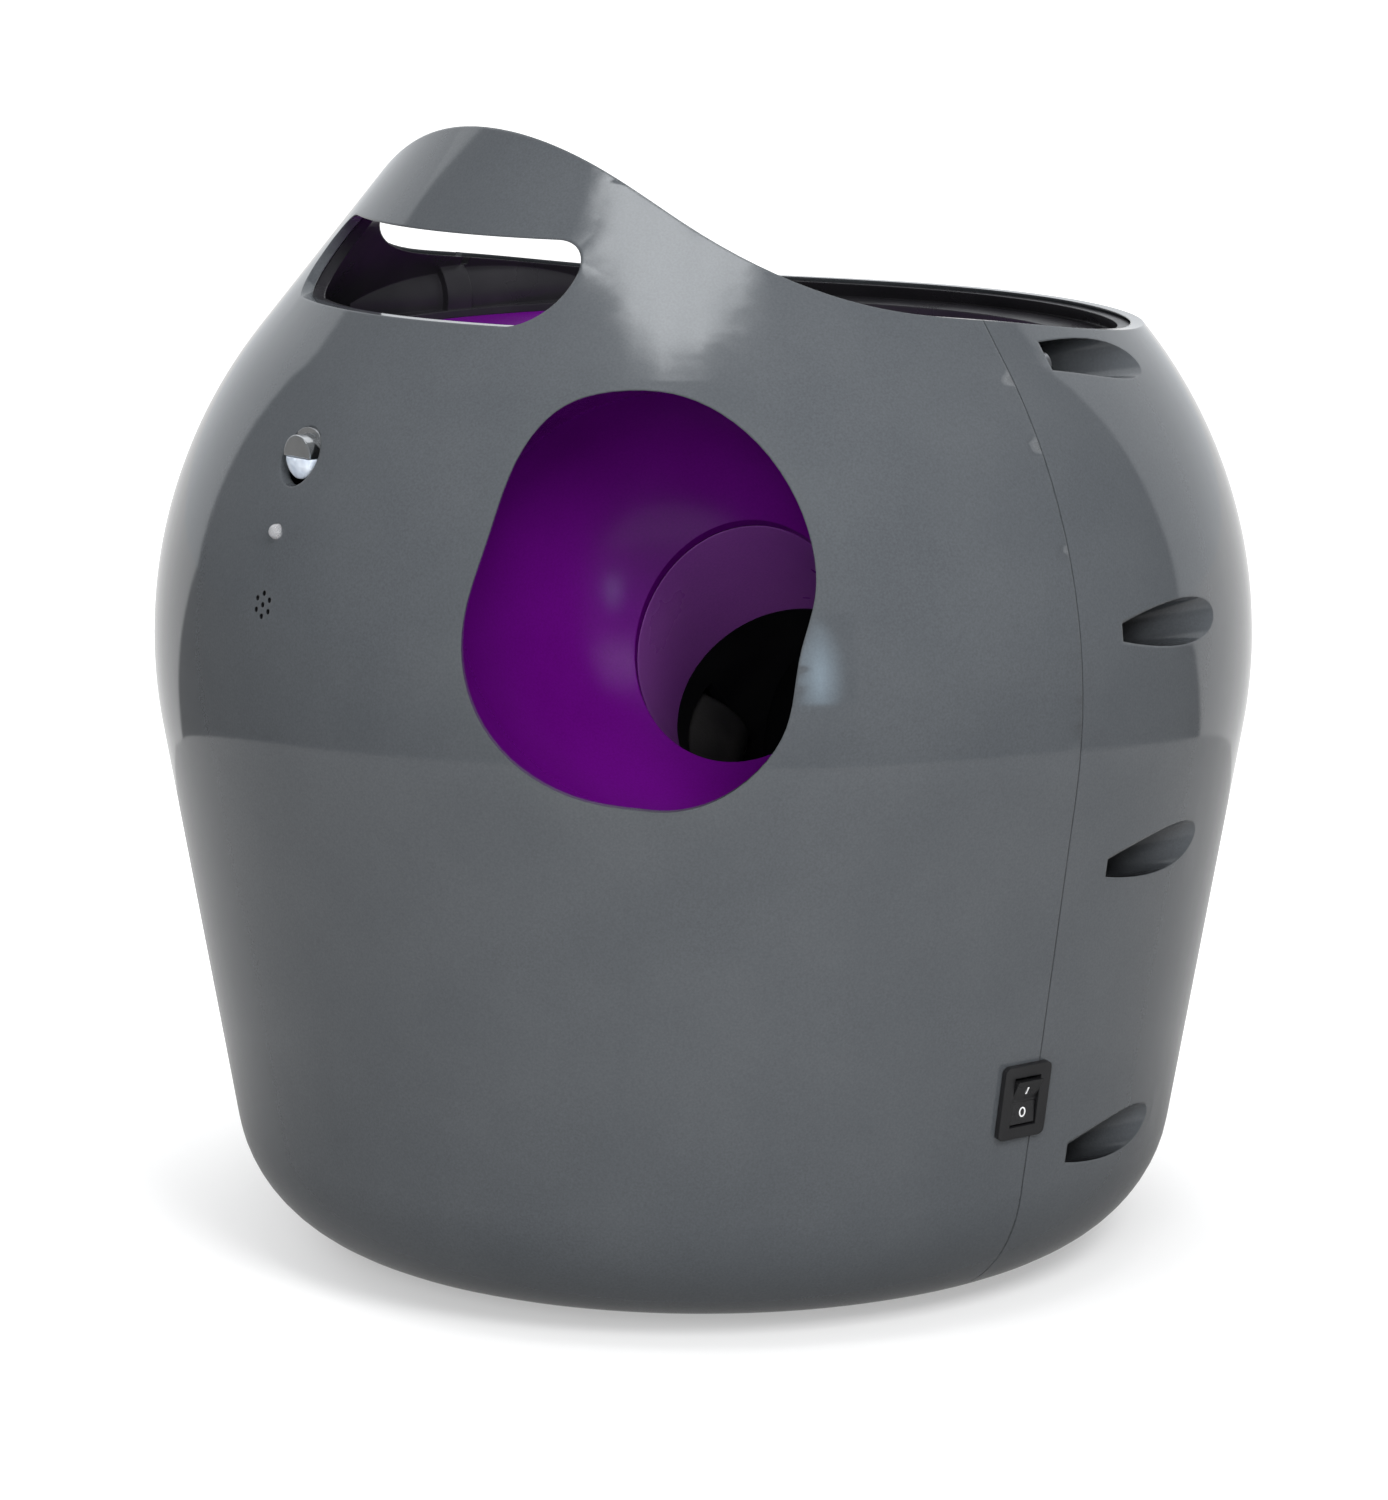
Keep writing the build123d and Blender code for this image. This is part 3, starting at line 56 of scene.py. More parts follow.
# ---------------------------------------------------------------- shader helpers
class Shader:
    """Small wrapper that builds one procedural material."""

    def __init__(self, name):
        self.mat = bpy.data.materials.new(name)
        self.mat.use_nodes = True
        self.tree = self.mat.node_tree
        self.tree.nodes.clear()
        self.out = self.node("ShaderNodeOutputMaterial")
        self.bsdf = self.node("ShaderNodeBsdfPrincipled")
        self.link(self.bsdf.outputs["BSDF"], self.out.inputs["Surface"])
        self.place = self.node("ShaderNodeTexCoord").outputs["Object"]

    def node(self, kind, **values):
        made = self.tree.nodes.new(kind)
        for key, value in values.items():
            setattr(made, key, value)
        return made

    def link(self, source, target):
        self.tree.links.new(source, target)

    def set(self, **values):
        for key, value in values.items():
            self.bsdf.inputs[key.replace("_", " ")].default_value = value

    def noise(self, scale, detail=3.0, rough=0.5, stretch=None):
        """Noise in object space; scale is in cycles per metre."""
        made = self.node("ShaderNodeTexNoise")
        made.inputs["Scale"].default_value = scale
        made.inputs["Detail"].default_value = detail
        made.inputs["Roughness"].default_value = rough
        source = self.place
        if stretch:
            mapping = self.node("ShaderNodeMapping")
            mapping.inputs["Scale"].default_value = stretch
            self.link(self.place, mapping.inputs["Vector"])
            source = mapping.outputs["Vector"]
        self.link(source, made.inputs["Vector"])
        return made.outputs["Fac"]

    def voronoi(self, scale):
        made = self.node("ShaderNodeTexVoronoi", feature="F1")
        made.inputs["Scale"].default_value = scale
        self.link(self.place, made.inputs["Vector"])
        return made.outputs["Distance"]

    def bands(self, scale):
        """Level bands along Z."""
        made = self.node("ShaderNodeTexWave", wave_type="BANDS", bands_direction="Z")
        made.inputs["Scale"].default_value = scale
        self.link(self.place, made.inputs["Vector"])
        return made.outputs["Fac"]

    def ramp(self, factor, low, high, start=0.35, end=0.65):
        """Maps a factor onto a range of numbers."""
        made = self.node("ShaderNodeMapRange")
        for key, value in (("From Min", start), ("From Max", end), ("To Min", low), ("To Max", high)):
            made.inputs[key].default_value = value
        self.link(factor, made.inputs["Value"])
        return made.outputs["Result"]

    def colours(self, factor, first, second, start=0.35, end=0.65):
        made = self.node("ShaderNodeValToRGB")
        made.color_ramp.elements[0].position = start
        made.color_ramp.elements[0].color = (*first, 1)
        made.color_ramp.elements[1].position = end
        made.color_ramp.elements[1].color = (*second, 1)
        self.link(factor, made.inputs["Fac"])
        return made.outputs["Color"]

    def mix(self, factor, first, second, blend="MIX"):
        made = self.node("ShaderNodeMix", data_type="RGBA", blend_type=blend)
        for slot, value in ((0, factor), (6, first), (7, second)):
            if isinstance(value, bpy.types.NodeSocket):
                self.link(value, made.inputs[slot])
            elif isinstance(value, tuple):
                made.inputs[slot].default_value = (*value, 1)
            else:
                made.inputs[slot].default_value = value
        return made.outputs[2]

    def paint_recess_shade(self, distance):
        """Painted shade: darkens colour and gloss deep inside wells and holes, within a distance in metres."""
        closed, opened = 0.45, 0.95
        shade = self.node("ShaderNodeAmbientOcclusion", samples=6, only_local=True)
        shade.inputs["Distance"].default_value = distance
        # painted shade: colour, specular and coat are turned down where ambient occlusion finds the surface
        # enclosed
        factor = self.ramp(shade.outputs["AO"], 0.1, 1.0, closed, opened)
        colour = self.bsdf.inputs["Base Color"].links[0].from_socket
        self.link(self.mix(1.0, colour, factor, "MULTIPLY"), self.bsdf.inputs["Base Color"])
        level = self.ramp(shade.outputs["AO"], 0.05, 0.5, closed, opened)
        self.link(level, self.bsdf.inputs["Specular IOR Level"])
        full_coat = self.bsdf.inputs["Coat Weight"].default_value
        coat = self.ramp(shade.outputs["AO"], 0.0, full_coat, closed, opened)
        self.link(coat, self.bsdf.inputs["Coat Weight"])

    def bump(self, heights, edge=0.0):
        """Stacks bumps given as (height, strength, distance in metres), over a rounded edge."""
        last = None
        if edge:
            bevel = self.node("ShaderNodeBevel", samples=4)
            bevel.inputs["Radius"].default_value = edge
            last = bevel.outputs["Normal"]
        for height, strength, distance in heights:
            made = self.node("ShaderNodeBump")
            made.inputs["Strength"].default_value = strength
            made.inputs["Distance"].default_value = distance
            self.link(height, made.inputs["Height"])
            if last:
                self.link(last, made.inputs["Normal"])
            last = made.outputs["Normal"]
        self.link(last, self.bsdf.inputs["Normal"])


def gloss(name, colour, second, rough=(0.16, 0.24), grain=2600.0, peel=0.05, edge=0.0, coat=0.0):
    """Glossy moulding: faint mottle, smudged gloss and an orange-peel surface."""
    s = Shader(name)
    mottle = s.noise(26.0, 4.0)
    speck = s.noise(1500.0, 2.0)
    base = s.colours(mottle, colour, second)
    flecks = s.colours(speck, (0.9, 0.9, 0.9), (1.08, 1.08, 1.08), 0.3, 0.7)
    s.link(s.mix(1.0, base, flecks, "MULTIPLY"), s.bsdf.inputs["Base Color"])
    smudge = s.noise(14.0, 5.0, 0.6)
    s.link(s.ramp(smudge, rough[0], rough[1]), s.bsdf.inputs["Roughness"])
    s.bump([(s.noise(90.0, 2.0), peel, 0.0006), (s.noise(grain, 2.0), peel * 0.8, 0.00004)], edge)
    if coat:
        s.set(Coat_Weight=coat, Coat_Roughness=0.06)
    return s


def satin(name, colour, second, rough=(0.4, 0.55), grain=1800.0, depth=0.25, edge=0.0):
    """Satin or textured moulding with a fine spark-eroded grain."""
    s = Shader(name)
    mottle = s.noise(40.0, 4.0)
    s.link(s.colours(mottle, colour, second), s.bsdf.inputs["Base Color"])
    s.link(s.ramp(s.noise(60.0, 4.0), rough[0], rough[1]), s.bsdf.inputs["Roughness"])
    s.bump([(s.voronoi(grain), depth, 0.00008), (s.noise(grain * 0.6, 3.0), depth * 0.6, 0.00006)], edge)
    return s


def metal(name, colour, second, rough=(0.2, 0.35), brush=(1.0, 1.0, 30.0), edge=0.0002):
    """Bare or plated metal with brushed streaks and faint stains."""
    s = Shader(name)
    streak = s.noise(420.0, 3.0, 0.6, brush)
    s.link(s.colours(s.noise(90.0, 4.0), colour, second), s.bsdf.inputs["Base Color"])
    s.set(Metallic=1.0)
    s.link(s.ramp(streak, rough[0], rough[1]), s.bsdf.inputs["Roughness"])
    s.bump([(streak, 0.08, 0.00005)], edge)
    return s


def clear(name, tint, second, rough, transmission):
    """Clear or milky moulding."""
    s = Shader(name)
    s.link(s.colours(s.noise(240.0, 2.0), tint, second), s.bsdf.inputs["Base Color"])
    s.set(Transmission_Weight=transmission, IOR=1.46)
    s.link(s.ramp(s.noise(180.0, 2.0), rough, rough + 0.06), s.bsdf.inputs["Roughness"])
    s.bump([(s.noise(900.0, 2.0), 0.1, 0.00008)])
    return s


# ---------------------------------------------------------------- materials
GREY = (0.062, 0.068, 0.075)
GREY_2 = (0.069, 0.075, 0.082)
PURPLE = (0.070, 0.0012, 0.112)
PURPLE_2 = (0.078, 0.0018, 0.126)

shell = gloss("shell_grey", GREY, GREY_2, (0.05, 0.09), peel=0.03, edge=0.0009, coat=0.25)
# painted shade: the shell's colour and gloss are darkened inside screw wells, seams and holes
shell.paint_recess_shade(0.02)
purple = gloss("moulding_purple", PURPLE, PURPLE_2, (0.16, 0.24), peel=0.05, edge=0.0006)
purple.set(Specular_IOR_Level=0.32)
# painted light: the muzzle sleeve is a lighter, greyer copy of the purple moulding, standing in for the light and
# gloss on the bore's wall
bore_purple_painted_light = gloss("bore_purple_painted_light", (0.2, 0.05, 0.28), (0.22, 0.06, 0.3), (0.24, 0.32), peel=0.05, edge=0.0006)
liner = satin("liner_black", (0.014, 0.0135, 0.016), (0.02, 0.019, 0.022), (0.26, 0.36), edge=0.0007)
barrel = satin("barrel_black", (0.004, 0.004, 0.005), (0.008, 0.008, 0.009), (0.38, 0.5))
chassis = satin("chassis_black", (0.022, 0.022, 0.025), (0.032, 0.032, 0.036), (0.5, 0.65), 1500.0)
door = satin("door_grey", (0.05, 0.054, 0.057), (0.062, 0.066, 0.07), (0.45, 0.6), 1300.0, edge=0.0004)
steel = metal("motor_steel", (0.5, 0.51, 0.53), (0.6, 0.61, 0.63))
zinc = metal("screw_zinc", (0.42, 0.43, 0.45), (0.55, 0.55, 0.57), (0.28, 0.42), (1.0, 30.0, 1.0))
chrome = metal("hood_chrome", (0.66, 0.67, 0.68), (0.78, 0.79, 0.8), (0.1, 0.2), (1.0, 0.1, 1.0), 0.0004)
brass = metal("contact_brass", (0.72, 0.55, 0.25), (0.8, 0.64, 0.34), (0.25, 0.4))
frame_black = satin("switch_black", (0.009, 0.009, 0.01), (0.013, 0.013, 0.014), (0.34, 0.44), 2400.0, 0.2, 0.0004)
rocker = gloss("rocker_black", (0.008, 0.008, 0.009), (0.012, 0.012, 0.013), (0.22, 0.32), 3000.0, edge=0.0003)
hub = gloss("hub_grey", (0.34, 0.34, 0.35), (0.4, 0.4, 0.41), (0.3, 0.4), edge=0.0004)
dial = gloss("dial_purple", PURPLE, PURPLE_2, (0.24, 0.34), 1500.0, 0.1, 0.0004)
servo = gloss("servo_blue", (0.02, 0.07, 0.22), (0.03, 0.09, 0.27), (0.2, 0.3), edge=0.0004)
parts_black = satin("component_black", (0.012, 0.012, 0.013), (0.02, 0.02, 0.021), (0.35, 0.5), 2200.0)
board = satin("board_green", (0.006, 0.07, 0.025), (0.01, 0.1, 0.035), (0.25, 0.4), 900.0, 0.35)
lens = clear("lens_milky", (0.78, 0.84, 0.92), (0.6, 0.68, 0.8), 0.16, 0.12)
lamp = clear("lamp_clear", (0.86, 0.87, 0.9), (0.95, 0.95, 0.97), 0.04, 0.75)
foot = clear("foot_clear", (0.85, 0.87, 0.88), (0.75, 0.78, 0.8), 0.2, 0.45)

# the lens has the small moulded facets of a motion sensor
lens.bump([(lens.voronoi(520.0), 0.5, 0.0004)])

# rubber tyre and pusher: rough and slightly dusty
tyre = satin("tyre_rubber", (0.012, 0.012, 0.012), (0.028, 0.027, 0.026), (0.7, 0.88), 1200.0, 0.5)
pad = satin("pad_rubber", (0.02, 0.02, 0.02), (0.034, 0.033, 0.032), (0.65, 0.85), 1000.0, 0.5)

# shrink wrap of the cells: plain bands
wrap = gloss("cell_wrap", (0.02, 0.022, 0.026), (0.03, 0.032, 0.036), (0.15, 0.25))
band = wrap.ramp(wrap.bands(2.1), 0.0, 1.0, 0.72, 0.76)
wrap.link(wrap.mix(band, (0.025, 0.027, 0.03), (0.42, 0.3, 0.1)), wrap.bsdf.inputs["Base Color"])

FINISH = {
    shell: ["front_shell", "rear_shell"],
    purple: ["launch_bay", "hopper_basin", "gate_paddle"],
    bore_purple_painted_light: ["muzzle_sleeve"],
    liner: ["hopper_rim"],
    barrel: ["launch_barrel", "feed_tube", "breech_cap"],
    chassis: ["chassis_plate", "wheel_cradle", "front_barrel_post", "rear_barrel_post", "battery_box",
              "board_standoffs"],
    door: ["battery_door"],
    steel: ["left_motor", "right_motor", "pusher_actuator", "dial_potentiometer"],
    zinc: ["shell_screws", "chassis_screws", "battery_door_screws", "board_screws", "inlet_nut",
           "left_motor_shaft", "right_motor_shaft"],
    chrome: ["sensor_hood", "sensor_bezel"],
    brass: ["battery_contacts"],
    frame_black: ["switch_frame", "power_inlet"],
    rocker: ["switch_rocker"],
    hub: ["left_wheel_hub", "right_wheel_hub"],
    dial: ["distance_dial"],
    servo: ["gate_servo"],
    parts_black: ["board_components", "ball_sensor", "speaker"],
    board: ["control_board", "sensor_board"],
    lens: ["sensor_lens"],
    lamp: ["indicator_lamp"],
    foot: ["rubber_feet"],
    tyre: ["left_wheel_tyre", "right_wheel_tyre"],
    pad: ["pusher"],
    wrap: ["battery_cells"],
}
for finish, names in FINISH.items():
    for name in names:
        mesh = NODES[name].data
        mesh.materials.clear()
        mesh.materials.append(finish.mat)

# ---------------------------------------------------------------- printed marks
mark_white = gloss("mark_white", (0.72, 0.72, 0.72), (0.8, 0.8, 0.8), (0.35, 0.5), 3000.0)


def new_piece(name, work, finish, body):
    """Turns a bmesh into a piece that rides on a body."""
    mesh = bpy.data.meshes.new(name)
    bmesh.ops.recalc_face_normals(work, faces=work.faces)
    work.to_mesh(mesh)
    work.free()
    piece = bpy.data.objects.new(name, mesh)
    bpy.context.scene.collection.objects.link(piece)
    mesh.materials.append(finish.mat)
    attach(piece, body)
    return piece


def add_slab(work, outline, inner, place, height):
    """Adds a thin raised mark. Outline and inner are lists of (x, y); inner None makes it solid."""
    def ring(points, z):
        return [work.verts.new(place @ Vector((x, y, z))) for x, y in points]

    low, high = ring(outline, 0), ring(outline, height)
    count = len(outline)
    for i in range(count):
        j = (i + 1) % count
        work.faces.new((low[i], low[j], high[j], high[i]))
    if inner is None:
        work.faces.new(high)
        work.faces.new(low[::-1])
        return
    inner_low, inner_high = ring(inner, 0), ring(inner, height)
    for i in range(count):
        j = (i + 1) % count
        work.faces.new((inner_low[j], inner_low[i], inner_high[i], inner_high[j]))
        work.faces.new((high[i], high[j], inner_high[j], inner_high[i]))
        work.faces.new((low[j], low[i], inner_low[i], inner_low[j]))


def oval(width, height, steps=40):
    return [(width * math.cos(2 * math.pi * k / steps), height * math.sin(2 * math.pi * k / steps))
            for k in range(steps)]


def bar(width, height):
    return [(-width, -height), (width, -height), (width, height), (-width, height)]


# rocker marks: a bar on the raised half and a ring on the pressed half; the switch leans with the body's taper
TAPER_ANGLE = math.radians(9.8)
MARK_HEIGHT = 0.06 * MM
rocker_joint = next(j for j in frame["joints"] if j["name"] == "rocker_tilt")
across = Vector(rocker_joint["axis"]).normalized()
out = Vector((across.y, -across.x, 0)) * math.cos(TAPER_ANGLE) + Vector((0, 0, -math.sin(TAPER_ANGLE)))
up = out.cross(across)
centre = Vector(rocker_joint["pos_m"])
work = bmesh.new()
for start, end, shape, inner in (
    ((0.0, 0.7), (7.3, 3.4), bar(0.32 * MM, 1.35 * MM), None),
    ((-7.3, 1.4), (0.0, 0.7), oval(1.25 * MM, 1.6 * MM), oval(0.8 * MM, 1.15 * MM)),
):
    slope = (up * (end[0] - start[0]) + out * (end[1] - start[1])).normalized()
    normal = across.cross(slope)
    middle = centre + (up * (start[0] + end[0]) + out * (start[1] + end[1])) * 0.5 * MM
    turn = Matrix((across, slope, normal)).transposed().to_4x4()
    add_slab(work, shape, inner, Matrix.Translation(middle) @ turn, MARK_HEIGHT)
new_piece("rocker_marks", work, mark_white, "rocker")

# dial marks: short strokes in the well round the knob, longer towards the far end of its travel
DIAL_STROKES = 11
DIAL_TRAVEL = 270
STROKE_REACH = 21.3 * MM
STROKE_HEIGHT = 0.08 * MM
knob_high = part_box("distance_dial")[1]
dial_joint = next(j for j in frame["joints"] if j["name"] == "dial_turn")
dial_middle = Vector(dial_joint["pos_m"])
work = bmesh.new()
knob_back = knob_high.y - 9.9 * MM
for k in range(DIAL_STROKES):
    angle = math.radians(-DIAL_TRAVEL / 2 + DIAL_TRAVEL / (DIAL_STROKES - 1) * k)
    spot = Vector((-STROKE_REACH * math.sin(angle), knob_back, dial_middle.z + STROKE_REACH * math.cos(angle)))
    turn = Matrix(((-1, 0, 0), (0, 0, 1), (0, 1, 0))).transposed().to_4x4()
    stroke = bar(0.35 * MM, (0.8 + 0.07 * k) * MM)
    place = Matrix.Translation(spot) @ turn @ Matrix.Rotation(-angle, 4, "Z")
    add_slab(work, stroke, None, place, STROKE_HEIGHT)
new_piece("dial_marks", work, mark_white, "housing")

# ---------------------------------------------------------------- sensor lens, level with the skin
LENS_STEPS = 32
HOOD_REACH = 1.2 * MM
hood_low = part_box("sensor_hood")[0]
skin = -hood_low.y - HOOD_REACH
lens_width, lens_dome, lens_length = 6.4 * MM, 1.8 * MM, 12.0 * MM
profile = [(0.0, skin - lens_length), (lens_width, skin - lens_length), (lens_width, skin)]
profile += [(lens_width * math.cos(math.radians(a)), skin + lens_dome * math.sin(math.radians(a)))
            for a in range(10, 90, 10)]
profile += [(0.0, skin + lens_dome)]
lens_top = hood_low.z - 0.3 * MM
work = bmesh.new()
rings = []
for radius, reach in profile:
    turns = [math.pi * j / LENS_STEPS for j in range(LENS_STEPS + 1)] if radius else [0.0]
    ring = [work.verts.new((radius * math.cos(t), -reach, lens_top - radius * math.sin(t))) for t in turns]
    rings.append(ring if radius else ring * (LENS_STEPS + 1))
for back, front in zip(rings, rings[1:]):
    for j in range(LENS_STEPS):
        work.faces.new(list(dict.fromkeys((back[j], back[j + 1], front[j + 1], front[j]))))
work.faces.new([ring[0] for ring in rings] + [ring[-1] for ring in rings[-2:0:-1]])
work.normal_update()
for face in work.faces:
    face.smooth = abs(face.normal.z) < 0.999
flush_lens = new_piece("flush_lens", work, lens, "housing")
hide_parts("sensor_lens")

# ---------------------------------------------------------------- studio
bpy.context.scene.view_settings.view_transform = "Standard"


BACKDROP_AZIMUTH = -138.0
BACKDROP_HALF = math.radians(56)
ROOM = 0.2
TABLE_REACH = 0.7


def graph(tree):
    """Short ways to add and link nodes of a floor or world."""
    def add(kind, **inputs):
        made = tree.nodes.new(kind)
        for key, value in inputs.items():
            made.inputs[int(key[1:])].default_value = value
        return made

    return add, tree.links.new


def span(add, link, source, marks):
    """Piecewise straight curve through (input, output) marks."""
    ramp = add("ShaderNodeFloatCurve")
    low, high = marks[0][0], marks[-1][0]
    scale = add("ShaderNodeMapRange", _1=low, _2=high, _3=0.0, _4=1.0)
    link(source, scale.inputs[0])
    link(scale.outputs[0], ramp.inputs["Value"])
    curve = ramp.mapping.curves[0]
    while len(curve.points) < len(marks):
        curve.points.new(0.5, 0.5)
    for point, (place, value) in zip(curve.points, marks):
        point.location = ((place - low) / (high - low), value)
        point.handle_type = "VECTOR"
    ramp.mapping.update()
    return ramp.outputs["Value"]


def product(add, link, first, second):
    made = add("ShaderNodeMath")
    made.operation = "MULTIPLY"
    link(first, made.inputs[0])
    link(second, made.inputs[1])
    return made.outputs[0]


def backdrop(add, link, place):
    """What mirror rays see round the object: a white backdrop behind it, a dim room in front."""
    turn = add("ShaderNodeVectorRotate", _3=math.radians(BACKDROP_AZIMUTH))
    turn.rotation_type = "Z_AXIS"
    turn.invert = True
    link(place, turn.inputs[0])
    split = add("ShaderNodeSeparateXYZ")
    link(turn.outputs[0], split.inputs[0])
    aside = add("ShaderNodeMath")
    aside.operation = "ABSOLUTE"
    link(split.outputs["X"], aside.inputs[0])
    ahead = add("ShaderNodeMath", _1=-1.0)
    ahead.operation = "MULTIPLY"
    link(split.outputs["Y"], ahead.inputs[0])
    angle = add("ShaderNodeMath")
    angle.operation = "ARCTAN2"
    link(aside.outputs[0], angle.inputs[0])
    link(ahead.outputs[0], angle.inputs[1])
    marks = [(0.0, 0.95), (BACKDROP_HALF - 0.02, 0.8), (BACKDROP_HALF, ROOM), (math.pi, ROOM * 1.2)]
    return span(add, link, angle.outputs[0], marks)


def stage_floor():
    """Pale floor: it keeps the shadow, and camera and mirror rays see it fade to white; its glow is lower near the
    object for both, a painted shadow round the base.
    """
    half = 30.0
    mesh = bpy.data.meshes.new("studio_floor")
    mesh.from_pydata([(-half, -half, 0), (half, -half, 0), (half, half, 0), (-half, half, 0)], [], [(0, 1, 2, 3)])
    floor = bpy.data.objects.new("studio_floor", mesh)
    bpy.context.scene.collection.objects.link(floor)
    mat = bpy.data.materials.new("studio_floor")
    mat.use_nodes = True
    mat.node_tree.nodes.clear()
    add, link = graph(mat.node_tree)
    output = add("ShaderNodeOutputMaterial")
    diffuse = add("ShaderNodeBsdfDiffuse", _0=(0.5, 0.5, 0.5, 1))
    glow = add("ShaderNodeEmission")
    path = add("ShaderNodeLightPath")
    length = add("ShaderNodeVectorMath")
    length.operation = "LENGTH"
    place = add("ShaderNodeTexCoord").outputs["Object"]
    link(place, length.inputs[0])
    reach = length.outputs["Value"]
    # painted shadow: the camera's glow on the floor is lower near the object, darkening the floor round the base
    camera_glow_painted_shadow = span(add, link, reach, [(0.0, 0.3), (0.12, 0.42), (0.27, 0.72), (0.5, 0.9), (0.9, 1.0)])
    # painted shadow: mirror rays see the floor's glow fall off towards the base, standing in for the shadow there
    table_glow_painted_shadow = span(add, link, reach, [(0.0, 0.1), (0.17, 0.25), (0.3, 0.5), (0.7, 0.6), (0.71, 0.6)])
    either = add("ShaderNodeMath")
    either.operation = "MAXIMUM"
    link(path.outputs["Is Camera Ray"], either.inputs[0])
    link(path.outputs["Is Transmission Ray"], either.inputs[1])
    link(product(add, link, camera_glow_painted_shadow, either.outputs[0]), glow.inputs["Strength"])
    both = add("ShaderNodeAddShader")
    link(diffuse.outputs[0], both.inputs[0])
    link(glow.outputs[0], both.inputs[1])
    beyond = add("ShaderNodeMath", _1=TABLE_REACH)
    beyond.operation = "GREATER_THAN"
    link(reach, beyond.inputs[0])
    choice = add("ShaderNodeMix")
    link(beyond.outputs[0], choice.inputs[0])
    link(table_glow_painted_shadow, choice.inputs[2])
    link(backdrop(add, link, place), choice.inputs[3])
    mirrored = add("ShaderNodeEmission")
    link(choice.outputs[0], mirrored.inputs["Strength"])
    pick = add("ShaderNodeMixShader")
    link(path.outputs["Is Glossy Ray"], pick.inputs[0])
    link(both.outputs[0], pick.inputs[1])
    link(mirrored.outputs[0], pick.inputs[2])
    link(pick.outputs[0], output.inputs["Surface"])
    mesh.materials.append(mat)


def studio_world():
    """Soft sky for the light, a bright horizon for mirror rays and white behind for the camera."""
    world = bpy.data.worlds.new("studio")
    bpy.context.scene.world = world
    world.use_nodes = True
    world.node_tree.nodes.clear()
    add, link = graph(world.node_tree)
    output = add("ShaderNodeOutputWorld")
    path = add("ShaderNodeLightPath")
    sky = add("ShaderNodeBackground", _0=(0.95, 0.97, 1.0, 1), _1=0.42)
    mirror = add("ShaderNodeBackground", _0=(0.94, 0.97, 1.0, 1))
    white = add("ShaderNodeBackground", _0=(1, 1, 1, 1), _1=1.0)
    place = add("ShaderNodeTexCoord").outputs["Generated"]
    link(backdrop(add, link, place), mirror.inputs["Strength"])
    first = add("ShaderNodeMixShader")
    link(path.outputs["Is Glossy Ray"], first.inputs[0])
    link(sky.outputs[0], first.inputs[1])
    link(mirror.outputs[0], first.inputs[2])
    second = add("ShaderNodeMixShader")
    either = add("ShaderNodeMath")
    either.operation = "MAXIMUM"
    link(path.outputs["Is Camera Ray"], either.inputs[0])
    link(path.outputs["Is Transmission Ray"], either.inputs[1])
    link(either.outputs[0], second.inputs[0])
    link(first.outputs[0], second.inputs[1])
    link(white.outputs[0], second.inputs[2])
    link(second.outputs[0], output.inputs["Surface"])


stage_floor()
studio_world()


def softbox(name, azimuth, elevation, distance, size, power):
    """Rectangular area light aimed at the object and not mirrored; azimuth is from the front towards +X."""
    data = bpy.data.lights.new(name, "AREA")
    data.shape = "RECTANGLE"
    data.size, data.size_y = size
    data.energy = power
    lamp_object = bpy.data.objects.new(name, data)
    a, e = math.radians(azimuth), math.radians(elevation)
    goal = Vector((0, 0, 0.17))
    away = Vector((math.sin(a) * math.cos(e), -math.cos(a) * math.cos(e), math.sin(e)))
    lamp_object.location = goal + away * distance
    lamp_object.rotation_euler = away.to_track_quat("Z", "Y").to_euler()
    lamp_object.visible_glossy = False
    bpy.context.scene.collection.objects.link(lamp_object)


def panel(name, corners, strength, colour=(0.95, 0.98, 1.0), soft=False):
    """Bright card that only mirror rays see: it draws a reflection, with a soft edge if asked."""
    mesh = bpy.data.meshes.new(name)
    mesh.from_pydata(corners, [], [tuple(range(len(corners)))])
    card = bpy.data.objects.new(name, mesh)
    bpy.context.scene.collection.objects.link(card)
    mat = bpy.data.materials.new(name)
    mat.use_nodes = True
    mat.node_tree.nodes.clear()
    add, link = graph(mat.node_tree)
    glow = add("ShaderNodeEmission", _0=(*colour, 1), _1=strength)
    if soft:
        middle = add("ShaderNodeMapping", _1=(-1, -1, -1), _3=(2, 2, 2))
        link(add("ShaderNodeTexCoord").outputs["Generated"], middle.inputs[0])
        blob = add("ShaderNodeTexGradient")
        blob.gradient_type = "SPHERICAL"
        link(middle.outputs[0], blob.inputs[0])
        fade = add("ShaderNodeMath", _1=strength)
        fade.operation = "MULTIPLY"
        link(blob.outputs["Fac"], fade.inputs[0])
        link(fade.outputs[0], glow.inputs["Strength"])
    link(glow.outputs[0], add("ShaderNodeOutputMaterial").inputs["Surface"])
    mesh.materials.append(mat)
    card.visible_camera = False
    card.visible_diffuse = False
    card.visible_shadow = False
    card.visible_transmission = False


softbox("key_left", -92, 20, 2.2, (1.6, 1.3), 26)
softbox("key_top", 50, 76, 2.0, (0.9, 0.9), 18)
softbox("fill_front", 42, 18, 2.4, (0.8, 0.8), 26)
softbox("fill_right", 74, 36, 2.4, (0.8, 0.8), 44)

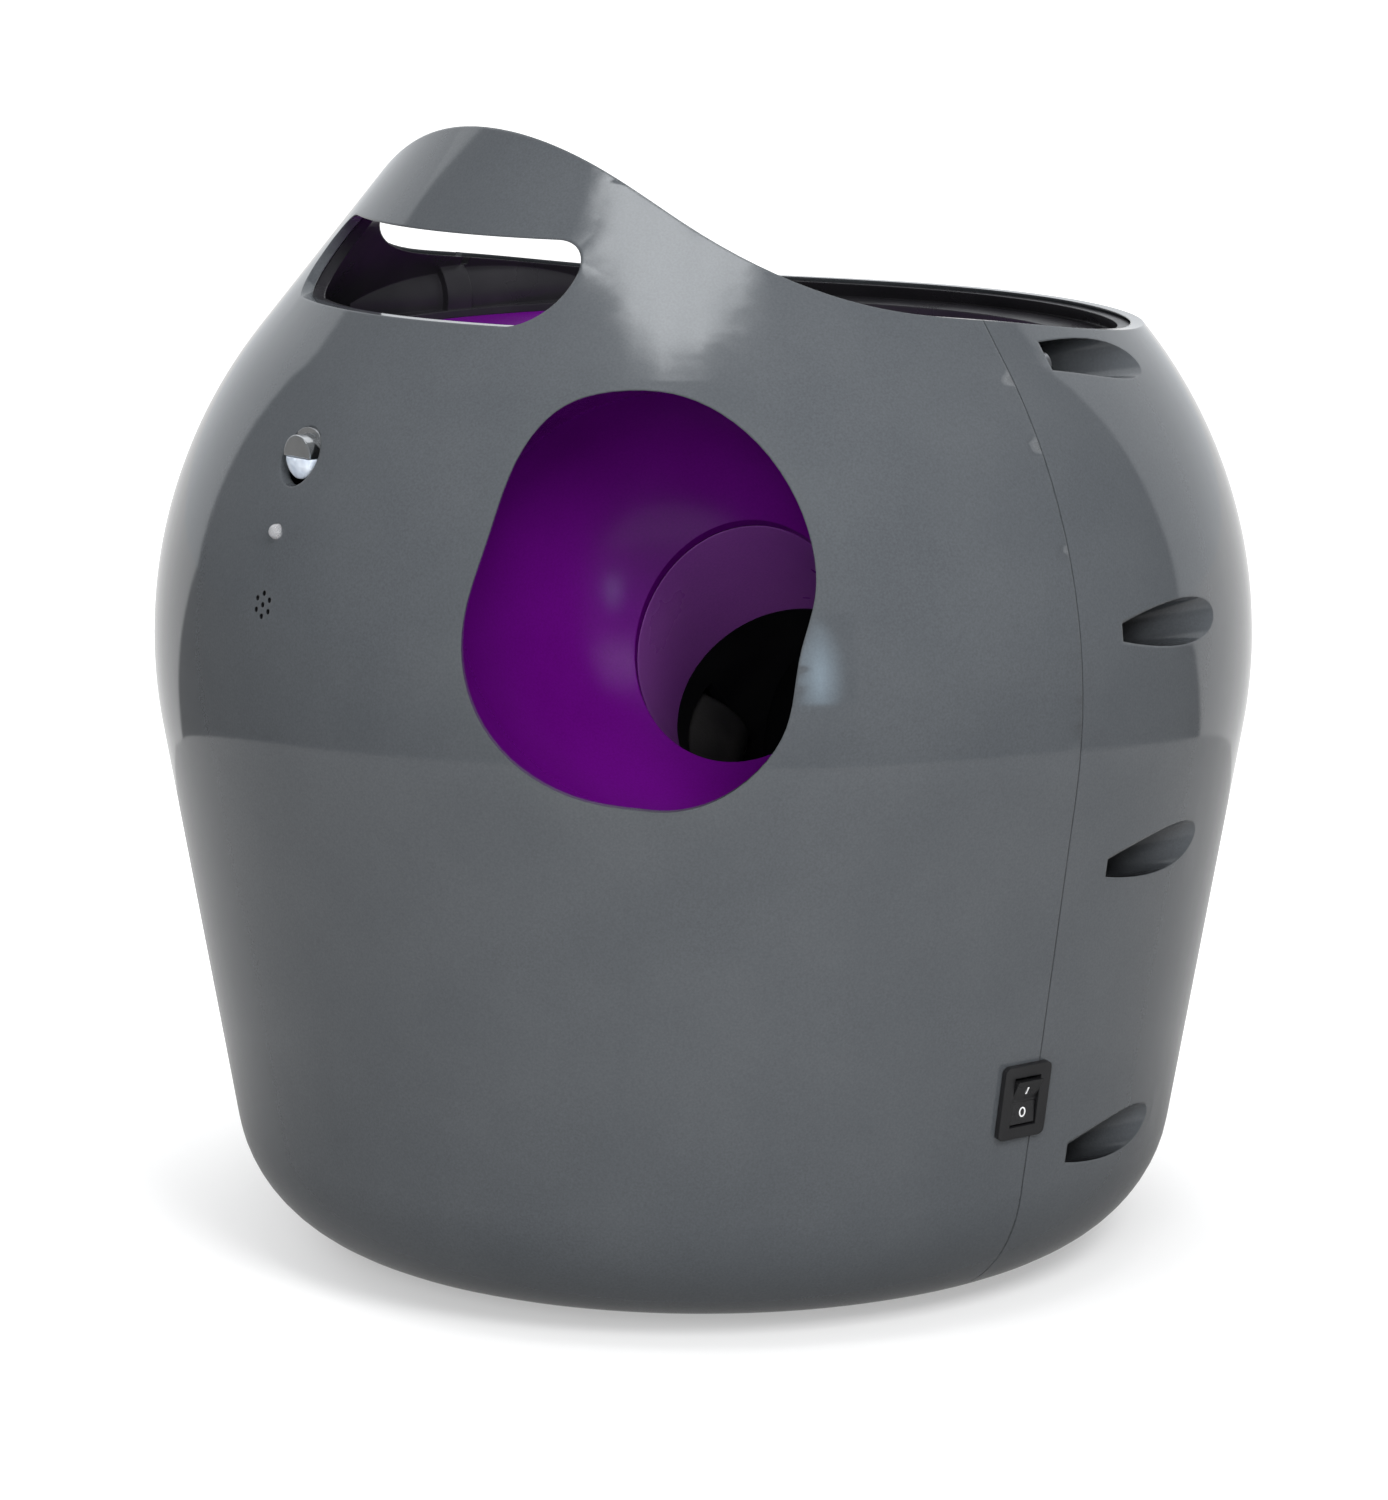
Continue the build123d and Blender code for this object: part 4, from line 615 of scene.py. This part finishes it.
# overhead card: its mirror image on the dome is a wedge that runs down towards the port
panel("card_top", [(-0.34, -0.95, 2.11), (-0.16, -0.94, 2.13), (0.05, -0.89, 2.15), (0.26, -0.81, 2.17),
                   (0.44, -0.7, 2.17), (0.6, -0.53, 2.19), (0.74, -0.29, 2.19), (0.83, -0.07, 2.18),
                   (0.71, -0.28, 2.22), (0.49, -0.55, 2.23), (0.13, -0.8, 2.21)], 6.0)
# narrow pale blue card: it shows beside the port's lower edge
panel("card_side", [(2.2, -1.0, -0.3), (2.36, -0.42, -0.3), (2.36, -0.42, 0.8), (2.2, -1.0, 0.8)], 5.0,
      (0.6, 0.82, 1.0), True)


def card_corner(azimuth, elevation, distance=2.6, height=0.33):
    a, e = math.radians(azimuth), math.radians(elevation)
    flat = distance * math.cos(e)
    return (flat * math.sin(a), -flat * math.cos(a), height + distance * math.sin(e))


# card beside the backdrop: its slanted edge crosses the handle
panel("card_handle", [card_corner(a, e) for a, e in
                      ((-66, 42), (-75.4, 33.5), (-81, 28), (-84, 28), (-84, 55), (-58, 55))], 1.0)

# ---------------------------------------------------------------- camera
CAMERA_AZIMUTH = math.radians(49.92)
CAMERA_REACH = 1.75
CAMERA_HEIGHT = 0.496
AIM_HEIGHT = 0.168
PHOTO_WIDTH = 1388
FOCAL_PIXELS = 5613
camera_data = bpy.data.cameras.new("camera")
camera = bpy.data.objects.new("camera", camera_data)
bpy.context.scene.collection.objects.link(camera)
camera.location = (CAMERA_REACH * math.sin(CAMERA_AZIMUTH), -CAMERA_REACH * math.cos(CAMERA_AZIMUTH),
                   CAMERA_HEIGHT)
aim = camera.location - Vector((0, 0, AIM_HEIGHT))
camera.rotation_euler = aim.to_track_quat("Z", "Y").to_euler()
camera_data.sensor_fit = "HORIZONTAL"
camera_data.sensor_width = 36
camera_data.lens = 36 * FOCAL_PIXELS / PHOTO_WIDTH
camera_data.shift_x = -9.3 / PHOTO_WIDTH
camera_data.shift_y = -37.7 / PHOTO_WIDTH
camera_data.clip_end = 100
bpy.context.scene.camera = camera
